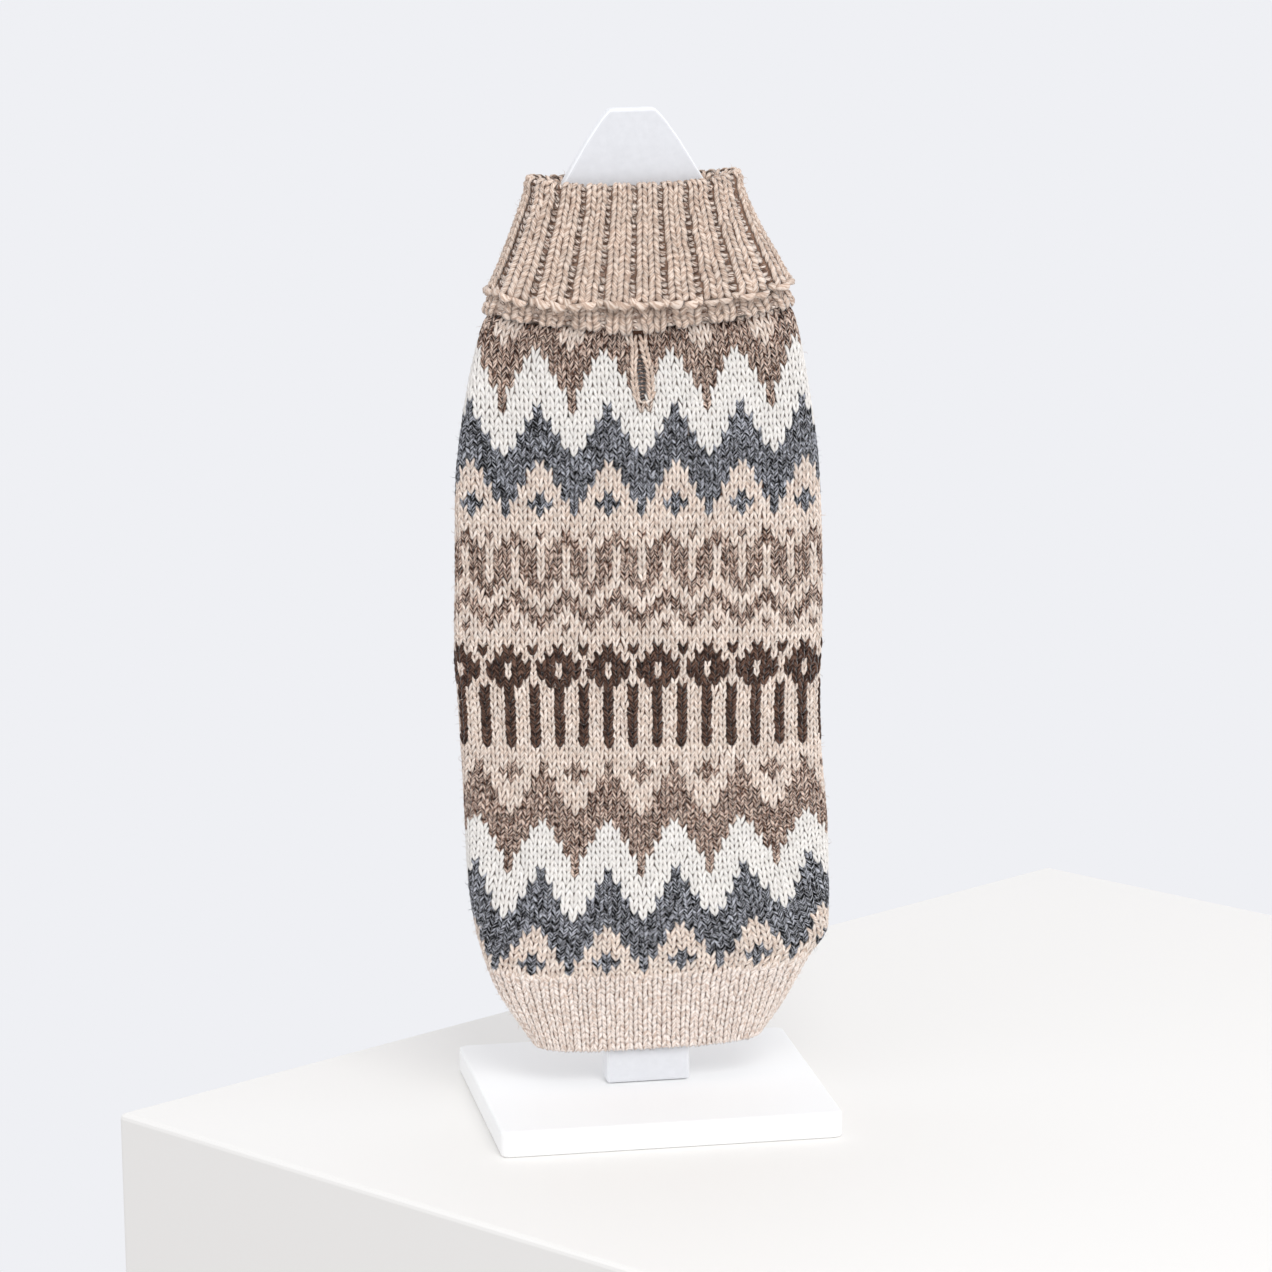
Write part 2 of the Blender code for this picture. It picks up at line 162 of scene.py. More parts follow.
# turn 0 is the dorsal middle, 0.25 the right side, 0.5 the middle of the belly
def ringPoints(rings, turns):
    turns = (turns + 0.5) % 1 - 0.5
    height, left, right, dorsal, belly, sideLift, bellyLift = rings.T
    side, width = np.where(turns >= 0, 1, -1), np.where(turns >= 0, right, left)
    quarters = np.abs(turns) * 4
    front = quarters <= 1
    depth = np.where(front, dorsal, belly)
    share = np.where(front, quarters, 2 - quarters)
    angles = np.linspace(0, pi / 2, arcSteps + 1)
    wide = width[:, None] * np.sin(angles) ** (2 / squareness)
    deep = depth[:, None] * np.abs(np.cos(angles)) ** (2 / squareness)
    steps = np.hypot(np.diff(wide), np.diff(deep))
    reached = np.concatenate([np.zeros((len(steps), 1)), steps.cumsum(1)], 1)
    wanted = share * reached[:, -1]
    k = np.clip((reached <= wanted[:, None]).sum(1) - 1, 0, arcSteps - 1)
    row = np.arange(len(k))
    part = (wanted - reached[row, k]) / steps[row, k]
    x, y = (line[row, k] + (line[row, k + 1] - line[row, k]) * part for line in (wide, deep))
    lift = np.where(front, 0, bellyLift * (1 - (x / width) ** 2))
    return np.stack([side * x, np.where(front, -y, y), height + sideLift * (x / width) ** 4 + lift], 1)


def unit(vectors):
    return vectors / np.maximum(np.linalg.norm(vectors, axis=1, keepdims=True), 1e-9)


# One column's step across and one row's step up a cloth given as place(rows, columns), the way out of it and its
# bends. side -1 turns the way out round, for a cloth whose face is the other one.
def stepsOn(place, rows, columns, reach=0.5, side=1):
    middle = place(rows, columns)
    sides = place(rows, columns + reach), place(rows, columns - reach)
    ends = place(rows - reach, columns), place(rows + reach, columns)
    across, up = (sides[0] - sides[1]) / (2 * reach), (ends[0] - ends[1]) / (2 * reach)
    out = side * unit(np.cross(across, up))
    bends = [-((pair[0] + pair[1] - 2 * middle) * out).sum(1) / reach ** 2 / np.maximum((way ** 2).sum(1), 1e-6)
             for pair, way in ((sides, across), (ends, up))]
    return middle, across, up, out, np.clip(np.stack([*bends, np.zeros(len(out))], 1), -0.25, 0.25)


def lattice(rows, columns):
    return [a.ravel().astype(float) for a in np.meshgrid(rows, columns, indexing="ij")]


# a cloth's grid of points along a place, lifted off it by some millimetres, for all or by row and column
def gridOn(place, rows, columns, lift, reach=0.5, side=1):
    level, turn = lattice(rows, columns)
    middle, across, up, out, bends = stepsOn(place, level, turn, reach, side)
    lift = lift(level, turn) if callable(lift) else np.full(len(out), lift)
    return (middle + out * lift[:, None]).reshape(len(rows), len(columns), 3)


def along(table, at, k=1):
    return np.interp(at, [row[0] for row in table], [row[k] for row in table])


# Five wool yarns, and copies of the beige with light and shade painted in: a paler one for the tight hem (painted
# light), a darker one for the collar and a darker still for the collar's purl columns (painted shade).
# Colours: most hairs (body), the palest (light), the deepest (dark), the inside of the knit, painted darker than the
# yarn for the shade between the stitches (back) and the loose hairs that stand off it (stray). heather is how strongly
# the pale and deep hairs show, fold how dark the painted shade on a loop's flanks is, and tone how much one stitch
# differs from the next.
lookKeys = ("body", "light", "dark", "back", "stray", "heather", "fold", "tone")
yarnLooks = {name: dict(zip(lookKeys, look)) for name, *look in (
    ("beige", "#EFDDCE", "#FFF8F1", "#AE917E", "#6B4F41", "#DCC9BB", 0.55, 0.45, 0.10),
    ("taupe", "#886351", "#E8D2C2", "#301E17", "#35241D", "#C6B1A2", 1.00, 0.74, 0.16),
    ("ivory", "#EEE9E2", "#FDFCFB", "#E0DCD8", "#847A74", "#EFECE8", 0.50, 0.20, 0.05),
    ("charcoal", "#19191D", "#BEC0C8", "#040406", "#1A1A1E", "#A2A4AA", 1.00, 0.80, 0.22),
    ("chocolate", "#40281E", "#7C5F50", "#190E0A", "#1D120E", "#7A6154", 0.80, 0.60, 0.12),
    ("hemBeige", "#F4E5DA", "#FFF8F2", "#B89A86", "#846353", "#E4D2C5", 0.60, 0.55, 0.06),
    ("collarBeige", "#DFC8B6", "#F8EBDF", "#9A7A66", "#7E6151", "#DAC6B7", 0.50, 0.45, 0.12),
    ("purlBeige", "#D9C3B3", "#F3E6DA", "#6E5142", "#8C705F", "#CDB8A9", 0.90, 0.82, 0.18))}
yarnNumber = {name: k for k, name in enumerate(yarnLooks)}


# Two-ply woollen-spun wool yarn. Matt with a faint sheen, streaked by single paler and deeper hairs
# that run with the ply twist, so it reads as heathered close by and as one colour from afar.
def yarnPaint(add, look):
    tone, crown = (add("ShaderNodeAttribute", attribute_type="GEOMETRY", attribute_name=name).outputs["Fac"]
                   for name in ("tone", "crown"))
    # u runs along the yarn and v round it, in millimetres; the twist carries v on as u grows
    parts = add("ShaderNodeSeparateXYZ", {0: add("ShaderNodeUVMap", uv_map="UVMap")})
    twisted = add("ShaderNodeMath", {0: parts, 1: 0.5, 2: parts.outputs[1]}, operation="MULTIPLY_ADD")
    offset = add("ShaderNodeMath", {0: tone, 1: 53.0}, operation="MULTIPLY")      # other hairs in each stitch
    hairs = add("ShaderNodeCombineXYZ", {0: parts, 1: twisted, 2: offset})
    stretched = add("ShaderNodeMapping", {"Vector": hairs, "Scale": (0.22, 1.45, 1.0)})      # 4.5 by 0.7 mm
    streak = add("ShaderNodeTexNoise", {"Vector": stretched, "Scale": 1.0, "Detail": 3.0, "Roughness": 0.65})
    body, light, dark = (linear(look[key]) for key in ("body", "light", "dark"))
    heather = add("ShaderNodeValToRGB", {"Fac": streak}, [(0.458, dark), (0.48, body), (0.512, body), (0.54, light)])
    mixed = add("ShaderNodeMix", {"Factor": look["heather"], 6: body, 7: heather}, data_type="RGBA")
    shade = add("ShaderNodeMapRange", {"Value": tone, "To Min": 1 - look["tone"], "To Max": 1 + look["tone"]})
    toned = add("ShaderNodeVectorMath", {0: mixed.outputs[2], 1: shade}, operation="MULTIPLY")
    # painted shade: a loop's flanks and deep parts are painted darker, by their crown, for the shade in the knit's
    # folds
    fold = add("ShaderNodeMapRange", {"Value": crown, "To Min": 1 - look["fold"], "To Max": 1.0})
    foldShadedColour = add("ShaderNodeVectorMath", {0: toned, 1: fold}, operation="MULTIPLY")
    ply = add("ShaderNodeMath", {0: twisted, 1: 3.6}, operation="MULTIPLY")      # a ply crosses every 3.5 mm of yarn
    wave = add("ShaderNodeMath", {0: ply}, operation="SINE")
    relief = add("ShaderNodeMath", {0: wave, 1: 0.3, 2: streak}, operation="MULTIPLY_ADD")
    bump = add("ShaderNodeBump", {"Height": relief, "Strength": 0.8, "Distance": 0.15 * mm})
    return {
        "Base Color": foldShadedColour, "Normal": bump, "Roughness": 0.9, "IOR": 1.54, "Specular IOR Level": 0.2,
        "Sheen Weight": 0.55, "Sheen Roughness": 0.35}


# Inside of the knit, seen between the stitches as dots: the yarn's colour painted darker for the shade between the
# stitches, and darker again where its fuzz lies low (painted shade). Matt and deep, with a coarse fuzz of 2.4 mm loop
# heads.
def backingPaint(add, look):
    place = add("ShaderNodeTexCoord").outputs["Object"]
    loops = add("ShaderNodeTexNoise", {"Vector": place, "Scale": 1 / (2.4 * mm), "Detail": 3.0, "Roughness": 0.6})
    deep, pale = ((*[min(share * c, 1) for c in linear(look["back"])[:3]], 1) for share in (0.6, 1.3))
    colour = add("ShaderNodeValToRGB", {"Fac": loops}, [(0.35, deep), (0.65, pale)])
    bump = add("ShaderNodeBump", {"Height": loops, "Strength": 0.8, "Distance": 0.5 * mm})
    return {
        "Base Color": colour, "Normal": bump, "Roughness": 0.95, "Specular IOR Level": 0.15, "Sheen Weight": 0.1}


# The same wool's purl side, seen inside the hem, the cuffs and the neck: soft rows of bumps 3.2 mm apart in the yarn's
# own colours, painted darker in the hollows between the bumps (painted shade) and paler on their tops (painted light).
def insidePaint(add, look):
    place = add("ShaderNodeTexCoord").outputs["Object"]
    rows = add("ShaderNodeTexWave", {"Vector": place, "Scale": 1 / (20 * 3.2 * mm), "Distortion": 6.0, "Detail": 2.0,
                                     "Detail Scale": 1.5}, bands_direction="Z")
    bumps = add("ShaderNodeTexNoise", {"Vector": place, "Scale": 1 / (1.6 * mm), "Detail": 3.0, "Roughness": 0.6})
    both = add("ShaderNodeMath", {0: rows.outputs["Fac"], 1: 0.5, 2: bumps}, operation="MULTIPLY_ADD")
    colour = add("ShaderNodeValToRGB", {"Fac": both}, [
        (0.35, linear(look["dark"])), (0.7, linear(look["body"])), (1.0, linear(look["light"]))])
    bump = add("ShaderNodeBump", {"Height": both, "Strength": 0.9, "Distance": 0.6 * mm})
    return {
        "Base Color": colour, "Normal": bump, "Roughness": 0.95, "Specular IOR Level": 0.15, "Sheen Weight": 0.3}


# Loose wool hair: fine, matt and paler than its yarn, so that it makes the soft halo.
def strayPaint(add, look):
    tone = add("ShaderNodeAttribute", attribute_type="GEOMETRY", attribute_name="tone").outputs["Fac"]
    colour = add("ShaderNodeValToRGB", {"Fac": tone}, [(0.0, linear(look["body"])), (0.6, linear(look["stray"]))])
    return {
        "Base Color": colour, "Roughness": 0.8, "Specular IOR Level": 0.25, "Sheen Weight": 0.3}


yarnMaterials, backMaterials, insideMaterials, strayMaterials = (
    [newMaterial(name + ending, paint, look) for name, look in yarnLooks.items()] for ending, paint in (
        ("WoolYarn", yarnPaint), ("WoolBacking", backingPaint), ("WoolInside", insidePaint), ("StrayWool", strayPaint)))
print("yarns spun")

# sides round a strand; its streaks run on by row and column in mm, apart from those of the loop's other leg;
# below deep a strand is painted in full shade, and rise above that it lies on the knit's face and is painted unshaded
loopPlan = {"sides": 5, "row": 3.8, "column": 4.1, "legsApart": 37.0, "deep": -0.45, "rise": 1.1}


# A loop of yarn one column wide and one row tall, its depth in millimetres. Each strand is a list of
# (x, y, z, half width, half depth) from one closed end to the other; it runs up the loop or across it.
def makeLoop(name, upwards, strands):
    points, faces, uvs = [], [], []
    sides = loopPlan["sides"]
    for number, strand in enumerate(strands):
        first = len(points)
        points.append(strand[0][:3])
        for x, y, z, wide, deep in strand[1:-1]:
            for k in range(sides):
                angle = 2 * pi * (k + 0.5) / sides - pi / 2
                shift, height = wide * cos(angle), z + deep * sin(angle)
                points.append((x + shift, y, height) if upwards else (x, y - shift, height))
        last = len(points)
        points.append(strand[-1][:3])
        lengths = [abs(b[1] - a[1]) * loopPlan["row"] + abs(b[0] - a[0]) * loopPlan["column"]
                   for a, b in zip(strand, strand[1:])]
        run = np.cumsum([loopPlan["legsApart"] * number] + lengths)
        for k in range(sides):
            after = (k + 1) % sides
            faces.append((first, first + 1 + after, first + 1 + k))
            uvs.append(((run[0], k + 0.5), (run[1], k + 1), (run[1], k)))
            for r in range(len(strand) - 3):
                low, high = first + 1 + r * sides, first + 1 + (r + 1) * sides
                faces.append((low + k, low + after, high + after, high + k))
                uvs.append(((run[r + 1], k), (run[r + 1], k + 1), (run[r + 2], k + 1), (run[r + 2], k)))
            faces.append((last - sides + k, last - sides + after, last))
            uvs.append(((run[-2], k), (run[-2], k + 1), (run[-1], k + 0.5)))
    mesh = bpy.data.meshes.new(name)
    mesh.from_pydata(points, [], faces)
    layer = mesh.uv_layers.new(name="UVMap")
    layer.data.foreach_set("uv", [c for face in uvs for corner in face for c in corner])
    spot = mesh.attributes.new("spot", "FLOAT_VECTOR", "POINT")
    spot.data.foreach_set("vector", np.array(points, float).ravel())
    # crown runs from 0 where a strand lies deep to 1 on the knit's face; the yarn paint darkens by it as painted shade
    crown = mesh.attributes.new("crown", "FLOAT", "POINT")
    crown.data.foreach_set("value", np.clip((np.array(points)[:, 2] - loopPlan["deep"]) / loopPlan["rise"], 0, 1))
    mesh.shade_smooth()
    return bpy.data.objects.new(name, mesh)


# both legs of a stitch, from its right one
def legs(strand):
    return [strand, [(-x, y, z, -wide, deep) for x, y, z, wide, deep in strand]]


# a knit stitch is a V: its legs leave the loop below, spread as they rise and tuck in beside the next row's V
knitLeg = [(0.02, -1.0, -0.8, 0, 0), (0.11, -0.66, -0.04, 0.16, 0.46), (0.2, -0.2, 0.14, 0.208, 0.6),
           (0.31, 0.26, 0.12, 0.22, 0.62), (0.395, 0.62, -0.1, 0.2, 0.5), (0.455, 0.88, -0.6, 0, 0)]
plainLeg = [knitLeg[0], (0.12, -0.62, -0.02, 0.16, 0.5), (0.235, -0.04, 0.16, 0.2, 0.64),
            (0.37, 0.54, -0.03, 0.2, 0.54), knitLeg[-1]]
# in ribbing the loops are drawn in so close that their legs stand almost upright, like two ropes side by side
ribLeg = [(0.14, -1.0, -0.9, 0, 0), (0.185, -0.62, -0.05, 0.18, 0.5), (0.235, -0.08, 0.24, 0.235, 0.7),
          (0.295, 0.46, 0.05, 0.21, 0.6), (0.36, 0.88, -0.7, 0, 0)]
purlBar = [(-0.54, -0.10, -1.0, 0, 0), (-0.34, 0.02, -0.2, 0.24, 0.62), (-0.10, 0.12, 0.10, 0.29, 0.74),
           (0.14, 0.12, 0.10, 0.29, 0.74), (0.36, 0.02, -0.2, 0.24, 0.62), (0.56, -0.10, -1.0, 0, 0)]
castOffBar = [(-0.68, 0.10, -0.6, 0, 0), (-0.44, 0.0, 0.0, 0.30, 0.80), (-0.12, -0.18, 0.30, 0.42, 1.10),
              (0.20, -0.18, 0.25, 0.41, 1.05), (0.48, 0.02, 0.0, 0.28, 0.75), (0.64, 0.12, -0.7, 0, 0)]
loops = {name: makeLoop(f"{name}Stitch", upwards, strands) for name, upwards, strands in (
    ("knit", True, legs(knitLeg)), ("plainKnit", True, legs(plainLeg)), ("rib", True, legs(ribLeg)),
    ("purl", False, [purlBar]), ("castOff", False, [castOffBar]))}

# a hair of length 1: height, lean and thickness of its rings, and its tip; then how many stand on a square metre,
# and how far they are tilted and how long they are, at least and at most
hairPlan = {"rings": [(0, 0, 0.6), (0.24, 0.1, 0.5), (0.72, 0.1, 0.3)], "tip": (0.34, 0.12, 1.0), "radius": 0.05,
            "density": 34000, "length": 4.6, "tilt": (-0.2, 0.95), "lengths": (0.45, 1.3), "seed": 71}


def makeHair(plan):
    corners = [(plan["radius"] * cos(2 * pi * k / 3), plan["radius"] * sin(2 * pi * k / 3)) for k in range(3)]
    points = [(lean + x * thick, y * thick, height) for height, lean, thick in plan["rings"] for x, y in corners]
    faces = [(r + k, r + (k + 1) % 3, r + 3 + (k + 1) % 3, r + 3 + k) for r in (0, 3) for k in range(3)]
    faces += [(6 + k, 6 + (k + 1) % 3, 9) for k in range(3)] + [(2, 1, 0)]
    mesh = bpy.data.meshes.new("strayHair")
    mesh.from_pydata([*points, plan["tip"]], [], faces)
    mesh.shade_smooth()
    return bpy.data.objects.new("strayHair", mesh)


strayHair = makeHair(hairPlan)


# starts a Geometry Nodes tree with named inputs; returns it, addNode for it, the inputs' sockets and identifiers
def newTree(name, inputs, output):
    tree = bpy.data.node_groups.new(name, "GeometryNodeTree")
    identifiers = {label: tree.interface.new_socket(label, in_out="INPUT", socket_type=f"NodeSocket{kind}").identifier
                   for label, kind in inputs}
    tree.interface.new_socket(output, in_out="OUTPUT", socket_type="NodeSocketGeometry")
    add = partial(addNode, tree)
    return tree, add, add("NodeGroupInput").outputs, identifiers


# ends a tree: drops the attributes that only it needs and gives every face the material of its yarn number
def dyeAndEnd(add, geometry, materials, spare=()):
    for name in spare:
        geometry = add("GeometryNodeRemoveAttribute", {0: geometry, "Name": name})
    number = add("GeometryNodeInputNamedAttribute", {"Name": "yarn"}, data_type="INT")
    for k, material in enumerate(materials):
        chosen = add("FunctionNodeCompare", {2: number, 3: k}, data_type="INT", operation="EQUAL")
        geometry = add("GeometryNodeSetMaterial", {0: geometry, "Selection": chosen, "Material": material})
    add("NodeGroupOutput", {0: geometry})


# lays one loop on each point, turned and sized to the cloth, each a little different, and bent to its curve
def stitchTree():
    tree, add, given, identifiers = newTree("layStitches", [
        ("Points", "Geometry"), ("Loop", "Object"), ("Width", "Float"), ("Height", "Float"), ("Yarn Depth", "Float"),
        ("Unevenness", "Float"), ("Seed", "Int")], "Stitches")
    out, up, size, spot, bend = (add("GeometryNodeInputNamedAttribute", {"Name": name}, data_type="FLOAT_VECTOR")
                                 for name in ("out", "up", "size", "spot", "bend"))
    facing = add("FunctionNodeAxesToRotation", {"Primary Axis": out, "Secondary Axis": up},
                 primary_axis="Z", secondary_axis="Y")
    share = add("ShaderNodeCombineXYZ", {0: given["Width"], 1: given["Height"], 2: given["Yarn Depth"]})
    sized = add("ShaderNodeVectorMath", {0: size, 1: share}, operation="MULTIPLY")
    least = add("ShaderNodeMath", {0: 1.0, 1: given["Unevenness"]}, operation="SUBTRACT")
    most = add("ShaderNodeMath", {0: 1.0, 1: given["Unevenness"]}, operation="ADD")
    low, high = (add("ShaderNodeCombineXYZ", {k: end for k in range(3)}) for end in (least, most))
    uneven = add("FunctionNodeRandomValue", {0: low, 1: high, "Seed": given["Seed"]}, data_type="FLOAT_VECTOR")
    grown = add("ShaderNodeVectorMath", {0: sized, 1: uneven}, operation="MULTIPLY")
    lean, leanBack = (add("ShaderNodeMath", {0: given["Unevenness"], 1: way}, operation="MULTIPLY")
                      for way in (-0.9, 0.9))
    tilt = add("FunctionNodeRandomValue", {2: lean, 3: leanBack, "Seed": given["Seed"]}, data_type="FLOAT")
    tiltTurn = add("FunctionNodeAxisAngleToRotation", {"Axis": (0, 0, 1), "Angle": tilt.outputs[1]})
    turned = add("FunctionNodeRotateRotation", {0: facing, 1: tiltTurn}, rotation_space="LOCAL")
    loop = add("GeometryNodeObjectInfo", {"Object": given["Loop"]}).outputs["Geometry"]
    laid = add("GeometryNodeInstanceOnPoints", {
        "Points": given["Points"], "Instance": loop, "Rotation": turned, "Scale": grown})
    made = add("GeometryNodeRealizeInstances", {0: laid})
    # every part of a loop drops by half its bend times its distance from the loop's middle, squared
    reach = add("ShaderNodeVectorMath", {0: spot, 1: size}, operation="MULTIPLY")
    squared = add("ShaderNodeVectorMath", {0: reach, 1: reach}, operation="MULTIPLY")
    drop = add("ShaderNodeVectorMath", {0: squared, 1: bend}, operation="DOT_PRODUCT").outputs["Value"]
    half = add("ShaderNodeMath", {0: drop, 1: -0.5}, operation="MULTIPLY")
    shift = add("ShaderNodeVectorMath", {0: out, "Scale": half}, operation="SCALE")
    bent = add("GeometryNodeSetPosition", {"Geometry": made, "Offset": shift})
    dyeAndEnd(add, bent, yarnMaterials, ("up", "out", "size", "spot", "bend"))
    return tree, identifiers


# scatters loose hairs over a cloth, most of them lying low
def hairTree(plan):
    tree, add, given, identifiers = newTree("scatterHairs", [
        ("Cloth", "Geometry"), ("Hair", "Object"), ("Hairs per m2", "Float"), ("Length", "Float"),
        ("Seed", "Int")], "Hairs")
    further = add("ShaderNodeMath", {0: given["Seed"], 1: 17.0}, operation="ADD")
    spin, tilt, share, tone = (
        add("FunctionNodeRandomValue", {2: low, 3: high, "Seed": seed}, data_type="FLOAT").outputs[1]
        for (low, high), seed in (((0.0, 2 * pi), given["Seed"]), (plan["tilt"], further), (plan["lengths"], further),
                                  ((0.0, 1.0), given["Seed"])))
    spread = add("GeometryNodeDistributePointsOnFaces", {
        "Mesh": given["Cloth"], "Density": given["Hairs per m2"], "Seed": given["Seed"]})
    facing = spread.outputs["Rotation"]
    for axis, angle in ((2, spin), (1, tilt)):
        euler = add("ShaderNodeCombineXYZ", {axis: angle})
        turn = add("FunctionNodeEulerToRotation", {0: euler})
        facing = add("FunctionNodeRotateRotation", {0: facing, 1: turn}, rotation_space="LOCAL")
    long = add("ShaderNodeMath", {0: share, 1: given["Length"]}, operation="MULTIPLY")
    hair = add("GeometryNodeObjectInfo", {"Object": given["Hair"]}).outputs["Geometry"]
    laid = add("GeometryNodeInstanceOnPoints", {
        "Points": spread.outputs["Points"], "Instance": hair, "Rotation": facing, "Scale": long})
    toned = add("GeometryNodeStoreNamedAttribute", {0: laid, "Name": "tone", "Value": tone},
                data_type="FLOAT", domain="INSTANCE")
    dyeAndEnd(add, add("GeometryNodeRealizeInstances", {0: toned}), strayMaterials)
    return tree, identifiers


stitchNodes, stitchInputs = stitchTree()
hairNodes, hairInputs = hairTree(hairPlan)


# runs a tree on a mesh and returns what it makes as a plain mesh
def grow(name, mesh, tree, identifiers, values):
    seat = addObject(f"{name}Seat", mesh)
    step = seat.modifiers.new("grow", "NODES")
    step.node_group = tree
    for label, value in values.items():
        step[identifiers[label]] = value
    graph = bpy.context.evaluated_depsgraph_get()
    made = bpy.data.meshes.new_from_object(seat.evaluated_get(graph), preserve_all_data_layers=True, depsgraph=graph)
    bpy.data.objects.remove(seat)
    made.name = name
    return made


shuffle = np.random.default_rng(11)


# steps are those of stepsOn, in millimetres. look is the loops' width, height, depth, unevenness and seed; lift is
# how far they stand off the cloth and share the part of a column that they fill, for all or for each
def layStitches(loop, steps, yarn, look, lift=0.0, share=1.0):
    middle, across, up, out, bends = steps
    across = across * np.reshape(share, (-1, 1))
    drift = shuffle.normal(0, 0.45 * look[3], (2, len(middle), 1))
    middle = middle + out * np.reshape(lift, (-1, 1)) + across * drift[0] + up * drift[1]
    mesh = bpy.data.meshes.new(f"{loop}Points")
    mesh.from_pydata(middle * mm, [], [])
    size = np.stack([np.linalg.norm(across, axis=1), np.linalg.norm(up, axis=1), np.ones(len(middle))], 1) * mm
    numbers = np.broadcast_to(yarnNumber[yarn] if isinstance(yarn, str) else yarn, len(middle)).astype(int)
    for key, kind, field, values in (
            ("up", "FLOAT_VECTOR", "vector", up), ("out", "FLOAT_VECTOR", "vector", out),
            ("size", "FLOAT_VECTOR", "vector", size), ("bend", "FLOAT_VECTOR", "vector", bends / mm),
            ("yarn", "INT", "value", numbers), ("tone", "FLOAT", "value", shuffle.random(len(middle)))):
        mesh.attributes.new(key, kind, "POINT").data.foreach_set(field, values.ravel())
    return grow(f"{loop}Stitches", mesh, stitchNodes, stitchInputs, {
        "Loop": loops[loop], **dict(zip(("Width", "Height", "Yarn Depth", "Unevenness", "Seed"), look))})


# one piece from several meshes that share the yarn materials
def joined(name, meshes):
    parts = [addObject(f"{name}{k}", mesh) for k, mesh in enumerate(meshes)]
    if len(parts) > 1:
        with bpy.context.temp_override(active_object=parts[0], selected_editable_objects=parts, selected_objects=parts):
            bpy.ops.object.join()
    parts[0].name = name
    return parts[0]


# thin cloth through a grid of points in millimetres; yarn is one name or the numbers of its faces row by row, and
# keep(row, column) says which faces there are
def makeCloth(name, grid, wall, yarn, closed=True, keep=None):
    rows, columns = grid.shape[:2]
    cells = [(r, c) for r in range(rows - 1) for c in range(columns if closed else columns - 1)
             if keep is None or keep(r, c)]
    number = np.arange(rows * columns).reshape(rows, columns)
    faces = [[number[cell] for cell in ((r, c), (r + 1, c), (r + 1, (c + 1) % columns), (r, (c + 1) % columns))]
             for r, c in cells]
    numbers = [yarnNumber[yarn]] * len(cells) if isinstance(yarn, str) else [yarn[cell] for cell in cells]
    mesh = bpy.data.meshes.new(name)
    mesh.from_pydata((grid.reshape(-1, 3) * mm).tolist(), [], faces)
    mesh.shade_smooth()
    for material in backMaterials + insideMaterials:
        mesh.materials.append(material)
    mesh.polygons.foreach_set("material_index", numbers)
    mesh.attributes.new("yarn", "INT", "FACE").data.foreach_set("value", numbers)
    piece = addObject(name, mesh)
    step = piece.modifiers.new("wall", "SOLIDIFY")
    step.thickness = wall * mm
    step.offset = -1.0
    step.material_offset = step.material_offset_rim = len(backMaterials)
    return piece


# Jacquard chart, by rows from the neck down and by columns from the middle of a panel.
rowHeights = [   # row, and the ring height that it lies on
    (-4, 419.0), (0, 403.4), (2, 395.7), (5, 384.0), (6, 380.1), (13, 354.1), (19, 332.7), (27, 302.5), (30, 290.7),
    (41, 244.9), (44, 233.1), (49, 212.6), (56, 186.3), (61, 167.5), (65, 152.0), (74, 121.4), (80, 99.3), (88, 72.3),
    (90, 65.4), (92, 58.5), (95, 48.0)]
rowRise = [      # how far a row of the dorsal panel climbs by 20 columns out, to either side
    (0, 0), (56, 0), (74, 3.5), (82, 1.0), (88, -2.4), (92, -2.4)]
rowTilt = [      # and by 20 columns to the right only
    (-4, -1.0), (6, -1.8), (13, -1.2), (19, -2.3), (27, -2.6), (44, -2.7), (50, -3.3), (61, -3.2), (65, -2.7),
    (74, -1.6), (80, -0.5), (88, 0.2)]
columnFit = [    # ring height, column of the middle, spread to the left and to the right
    (72, -0.80, 1.30, 1.22), (100, -0.85, 1.115, 1.08), (125, -0.85, 1.052, 1.028), (152, -0.79, 1.034, 1.028),
    (185, -0.57, 1.014, 1.044), (233, -0.28, 1.024, 1.042), (302, 0.0, 1.049, 1.03), (332, 0.32, 1.09, 1.035),
    (357, 0.27, 1.146, 1.065), (385, -0.25, 1.207, 1.12)]
grounds = [(1, "taupe"), (14, "ivory"), (20, "charcoal"), (28, "beige"),
           (66, "taupe"), (75, "ivory"), (81, "charcoal"), (89, "beige")]
motifs = [       # yarn, column of the motif in its eight, first row, half widths row by row
    ("beige", 0, 1, (2, 2, 1, 1, 0)), ("ivory", 4, 6, (0, 1, 1, 2, 2, 3, 3, 3)),
    ("charcoal", 4, 13, (0, 0, 1, 1, 2, 2, 3)), ("beige", 4, 21, (0, 1, 1, 2, 2, 3, 3)), ("charcoal", 4, 25, (0, 1, 0)),
    ("taupe", 4, 59, (0, 0, 1, 1, 2, 2, 3)), ("taupe", 0, 59, (0, 1, 0)), ("ivory", 4, 67, (0, 1, 1, 2, 2, 3, 3, 3)),
    ("charcoal", 4, 74, (0, 0, 1, 1, 2, 2, 3)), ("beige", 4, 82, (0, 1, 1, 2, 2, 3, 3)), ("charcoal", 4, 86, (0, 1, 0))]
bands = [        # first and last row, yarn, repeat, columns in it: the frieze, then the rosettes on their stems
    (30, 30, "taupe", 3, (0,)), (31, 31, "taupe", 6, (2, 3, 4)), (32, 35, "taupe", 6, (1, 2, 4, 5)),
    (36, 36, "taupe", 6, (5, 0, 1)), (37, 37, "taupe", 3, (0,)), (38, 38, "taupe", 6, (2, 3, 4)),
    (39, 39, "taupe", 6, (1, 2, 4, 5)), (40, 40, "taupe", 6, (5, 0, 1)), (41, 41, "taupe", 3, (0,)),
    (44, 44, "chocolate", 3, (2,)), (45, 45, "chocolate", 6, (1, 2, 3)), (46, 47, "chocolate", 6, (0, 1, 3, 4)),
    (48, 48, "chocolate", 6, (1, 2, 3)), (49, 56, "chocolate", 3, (2,))]


